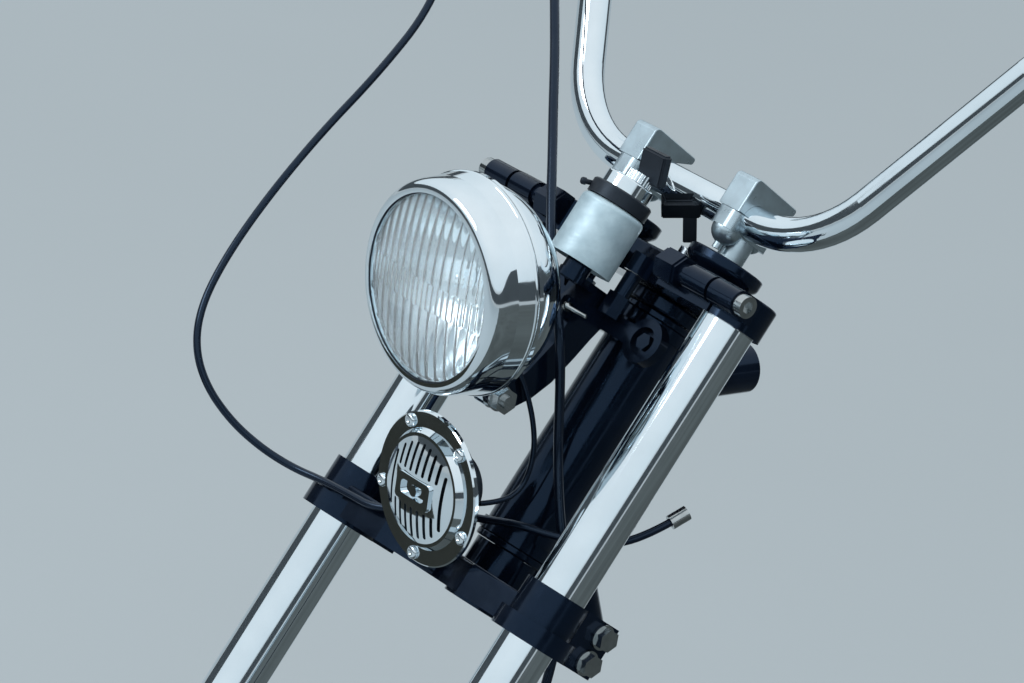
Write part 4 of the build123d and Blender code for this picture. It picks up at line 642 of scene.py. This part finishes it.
def lens_point(radius, angle, back):
    """Point of the glass at a distance from its middle, on its front or on its fluted back."""
    x = radius * cos(angle)
    z = radius * sin(angle)
    height = LENS_EDGE + sqrt(LENS_BALL**2 - radius**2) - (LENS_BALL - LENS_CROWN)
    if back:
        fade = min(1.0, (LENS_R - radius) / LENS_FADE)
        height -= LENS_THICK - flute(x, z) * fade
    return LAMP + (SIDE * x + UPRIGHT * z + FRONT * height) / 1000


def lens_side(back):
    """Points of one side of the glass: its middle, then its circles from the inside out."""
    points = [lens_point(0.0, 0.0, back)]
    for step in range(1, LENS_RINGS + 1):
        radius = LENS_R * step / LENS_RINGS
        for turn in range(LENS_SIDES):
            points.append(lens_point(radius, 2 * pi * turn / LENS_SIDES, back))
    return points


def lens_faces(middle):
    """Faces of one side, from the number of its middle point, that look backward."""
    inner = middle + 1
    faces = []
    for turn in range(LENS_SIDES):
        faces.append((middle, inner + (turn + 1) % LENS_SIDES, inner + turn))
    for step in range(LENS_RINGS - 1):
        low = inner + step * LENS_SIDES
        faces += ring_quads(low, low + LENS_SIDES, LENS_SIDES)
    return faces


def build_lens():
    points = lens_side(back=False)
    faces = [face[::-1] for face in lens_faces(0)]
    front_rim = len(points) - LENS_SIDES
    faces += lens_faces(len(points))
    points += lens_side(back=True)
    faces += ring_quads(len(points) - LENS_SIDES, front_rim, LENS_SIDES)
    lens = mesh_object("lens_flutes", points, faces, "glass")
    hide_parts("lamp_lens")


build_lens()
ring("lens_seal", SEAL_AT, FRONT, SEAL_R, SEAL_THICK, "rubber", sides=160)

# Horn: five domed screws round the flange, their circle and seat in metres
SCREW_COUNT = 5
SCREW_START = 50.0  # degrees
SCREW_CIRCLE = 0.050
SCREW_SEAT = 0.0042
SCREW_PROFILE = ((4.9, 0.0), (4.9, 0.9), (4.5, 1.9), (3.6, 2.6), (2.4, 3.0), (1.5, 3.05),
                 (1.4, 1.9), (0.3, 1.8))
for index in range(SCREW_COUNT):
    angle = radians(SCREW_START + 360 / SCREW_COUNT * index)
    out = SIDE * cos(angle) + UPRIGHT * sin(angle)
    at = HORN + out * SCREW_CIRCLE + FRONT * SCREW_SEAT
    lathe(f"horn_screw_{index + 1}", at, FRONT, SCREW_PROFILE, "chrome", sides=32)

# Ignition switch: the key, its ring, the spare key on it and the knob at the side
KEY_AT = spot(8, 91.9, 149.8)
KEY_SIZE = (26, 24, 8)
KEY_RING_AT = spot(14, 72, 146) - CAMERA_RIGHT * 0.0045 + CAMERA_UP * 0.006
KEY_RING_AXIS = CAMERA_RIGHT * 0.85 + CAMERA_UP * 0.49 + CAMERA_BACK * 0.24
KEY_RING_R = 10.0
KEY_RING_THICK = 0.9
SPARE_AT = spot(12, 53, 139)
SPARE_SIZE = (28, 13, 14)
SPARE_TOP = UPRIGHT * 0.75 + CAMERA_BACK * 0.45
SPARE_RECESS = (3.8, 6.0)
BLADE_AT = spot(14, 45, 124) + CAMERA_RIGHT * 0.0085
BLADE_SIZE = (10, 20, 2.2)
KNOB_AT = spot(-15, 114, 117)
KNOB_AXIS = FRONT * 0.6 - SIDE
KNOB_PROFILE = ((1.9, -3), (1.9, 4), (2.7, 4.4), (2.7, 7), (2.0, 8))
block("key_head", KEY_AT, KEY_SIZE, SIDE, AHEAD * 0.5 + STEER, "satin_black", edge=1.6)
ring("key_ring", KEY_RING_AT, KEY_RING_AXIS, KEY_RING_R, KEY_RING_THICK, "chrome", sides=64)
block("spare_key_head", SPARE_AT, SPARE_SIZE, CAMERA_RIGHT, SPARE_TOP.cross(CAMERA_RIGHT),
      "satin_black", edge=1.0, recess=SPARE_RECESS)
block("spare_key_blade", BLADE_AT, BLADE_SIZE, CAMERA_RIGHT, UPRIGHT, "satin_black", edge=0.6)
lathe("switch_knob", KNOB_AT, KNOB_AXIS, KNOB_PROFILE, "satin_black")

# Lamp bracket: the cross screw under the switch and the tab that holds it
CROSS_SCREW_AT = spot(9, 93.5, 33.5)
CROSS_SCREW_PROFILE = ((3.6, 0), (3.6, 3.2), (1.6, 3.6), (1.6, 22), (1.2, 22.6))
TAB_AT = spot(5, 88, 33)
TAB_SIZE = (8, 16, 13)
lathe("bracket_screw", CROSS_SCREW_AT, SIDE, CROSS_SCREW_PROFILE, "zinc")
block("bracket_tab", TAB_AT, TAB_SIZE, SIDE, STEER, "gloss_black", edge=1.5)
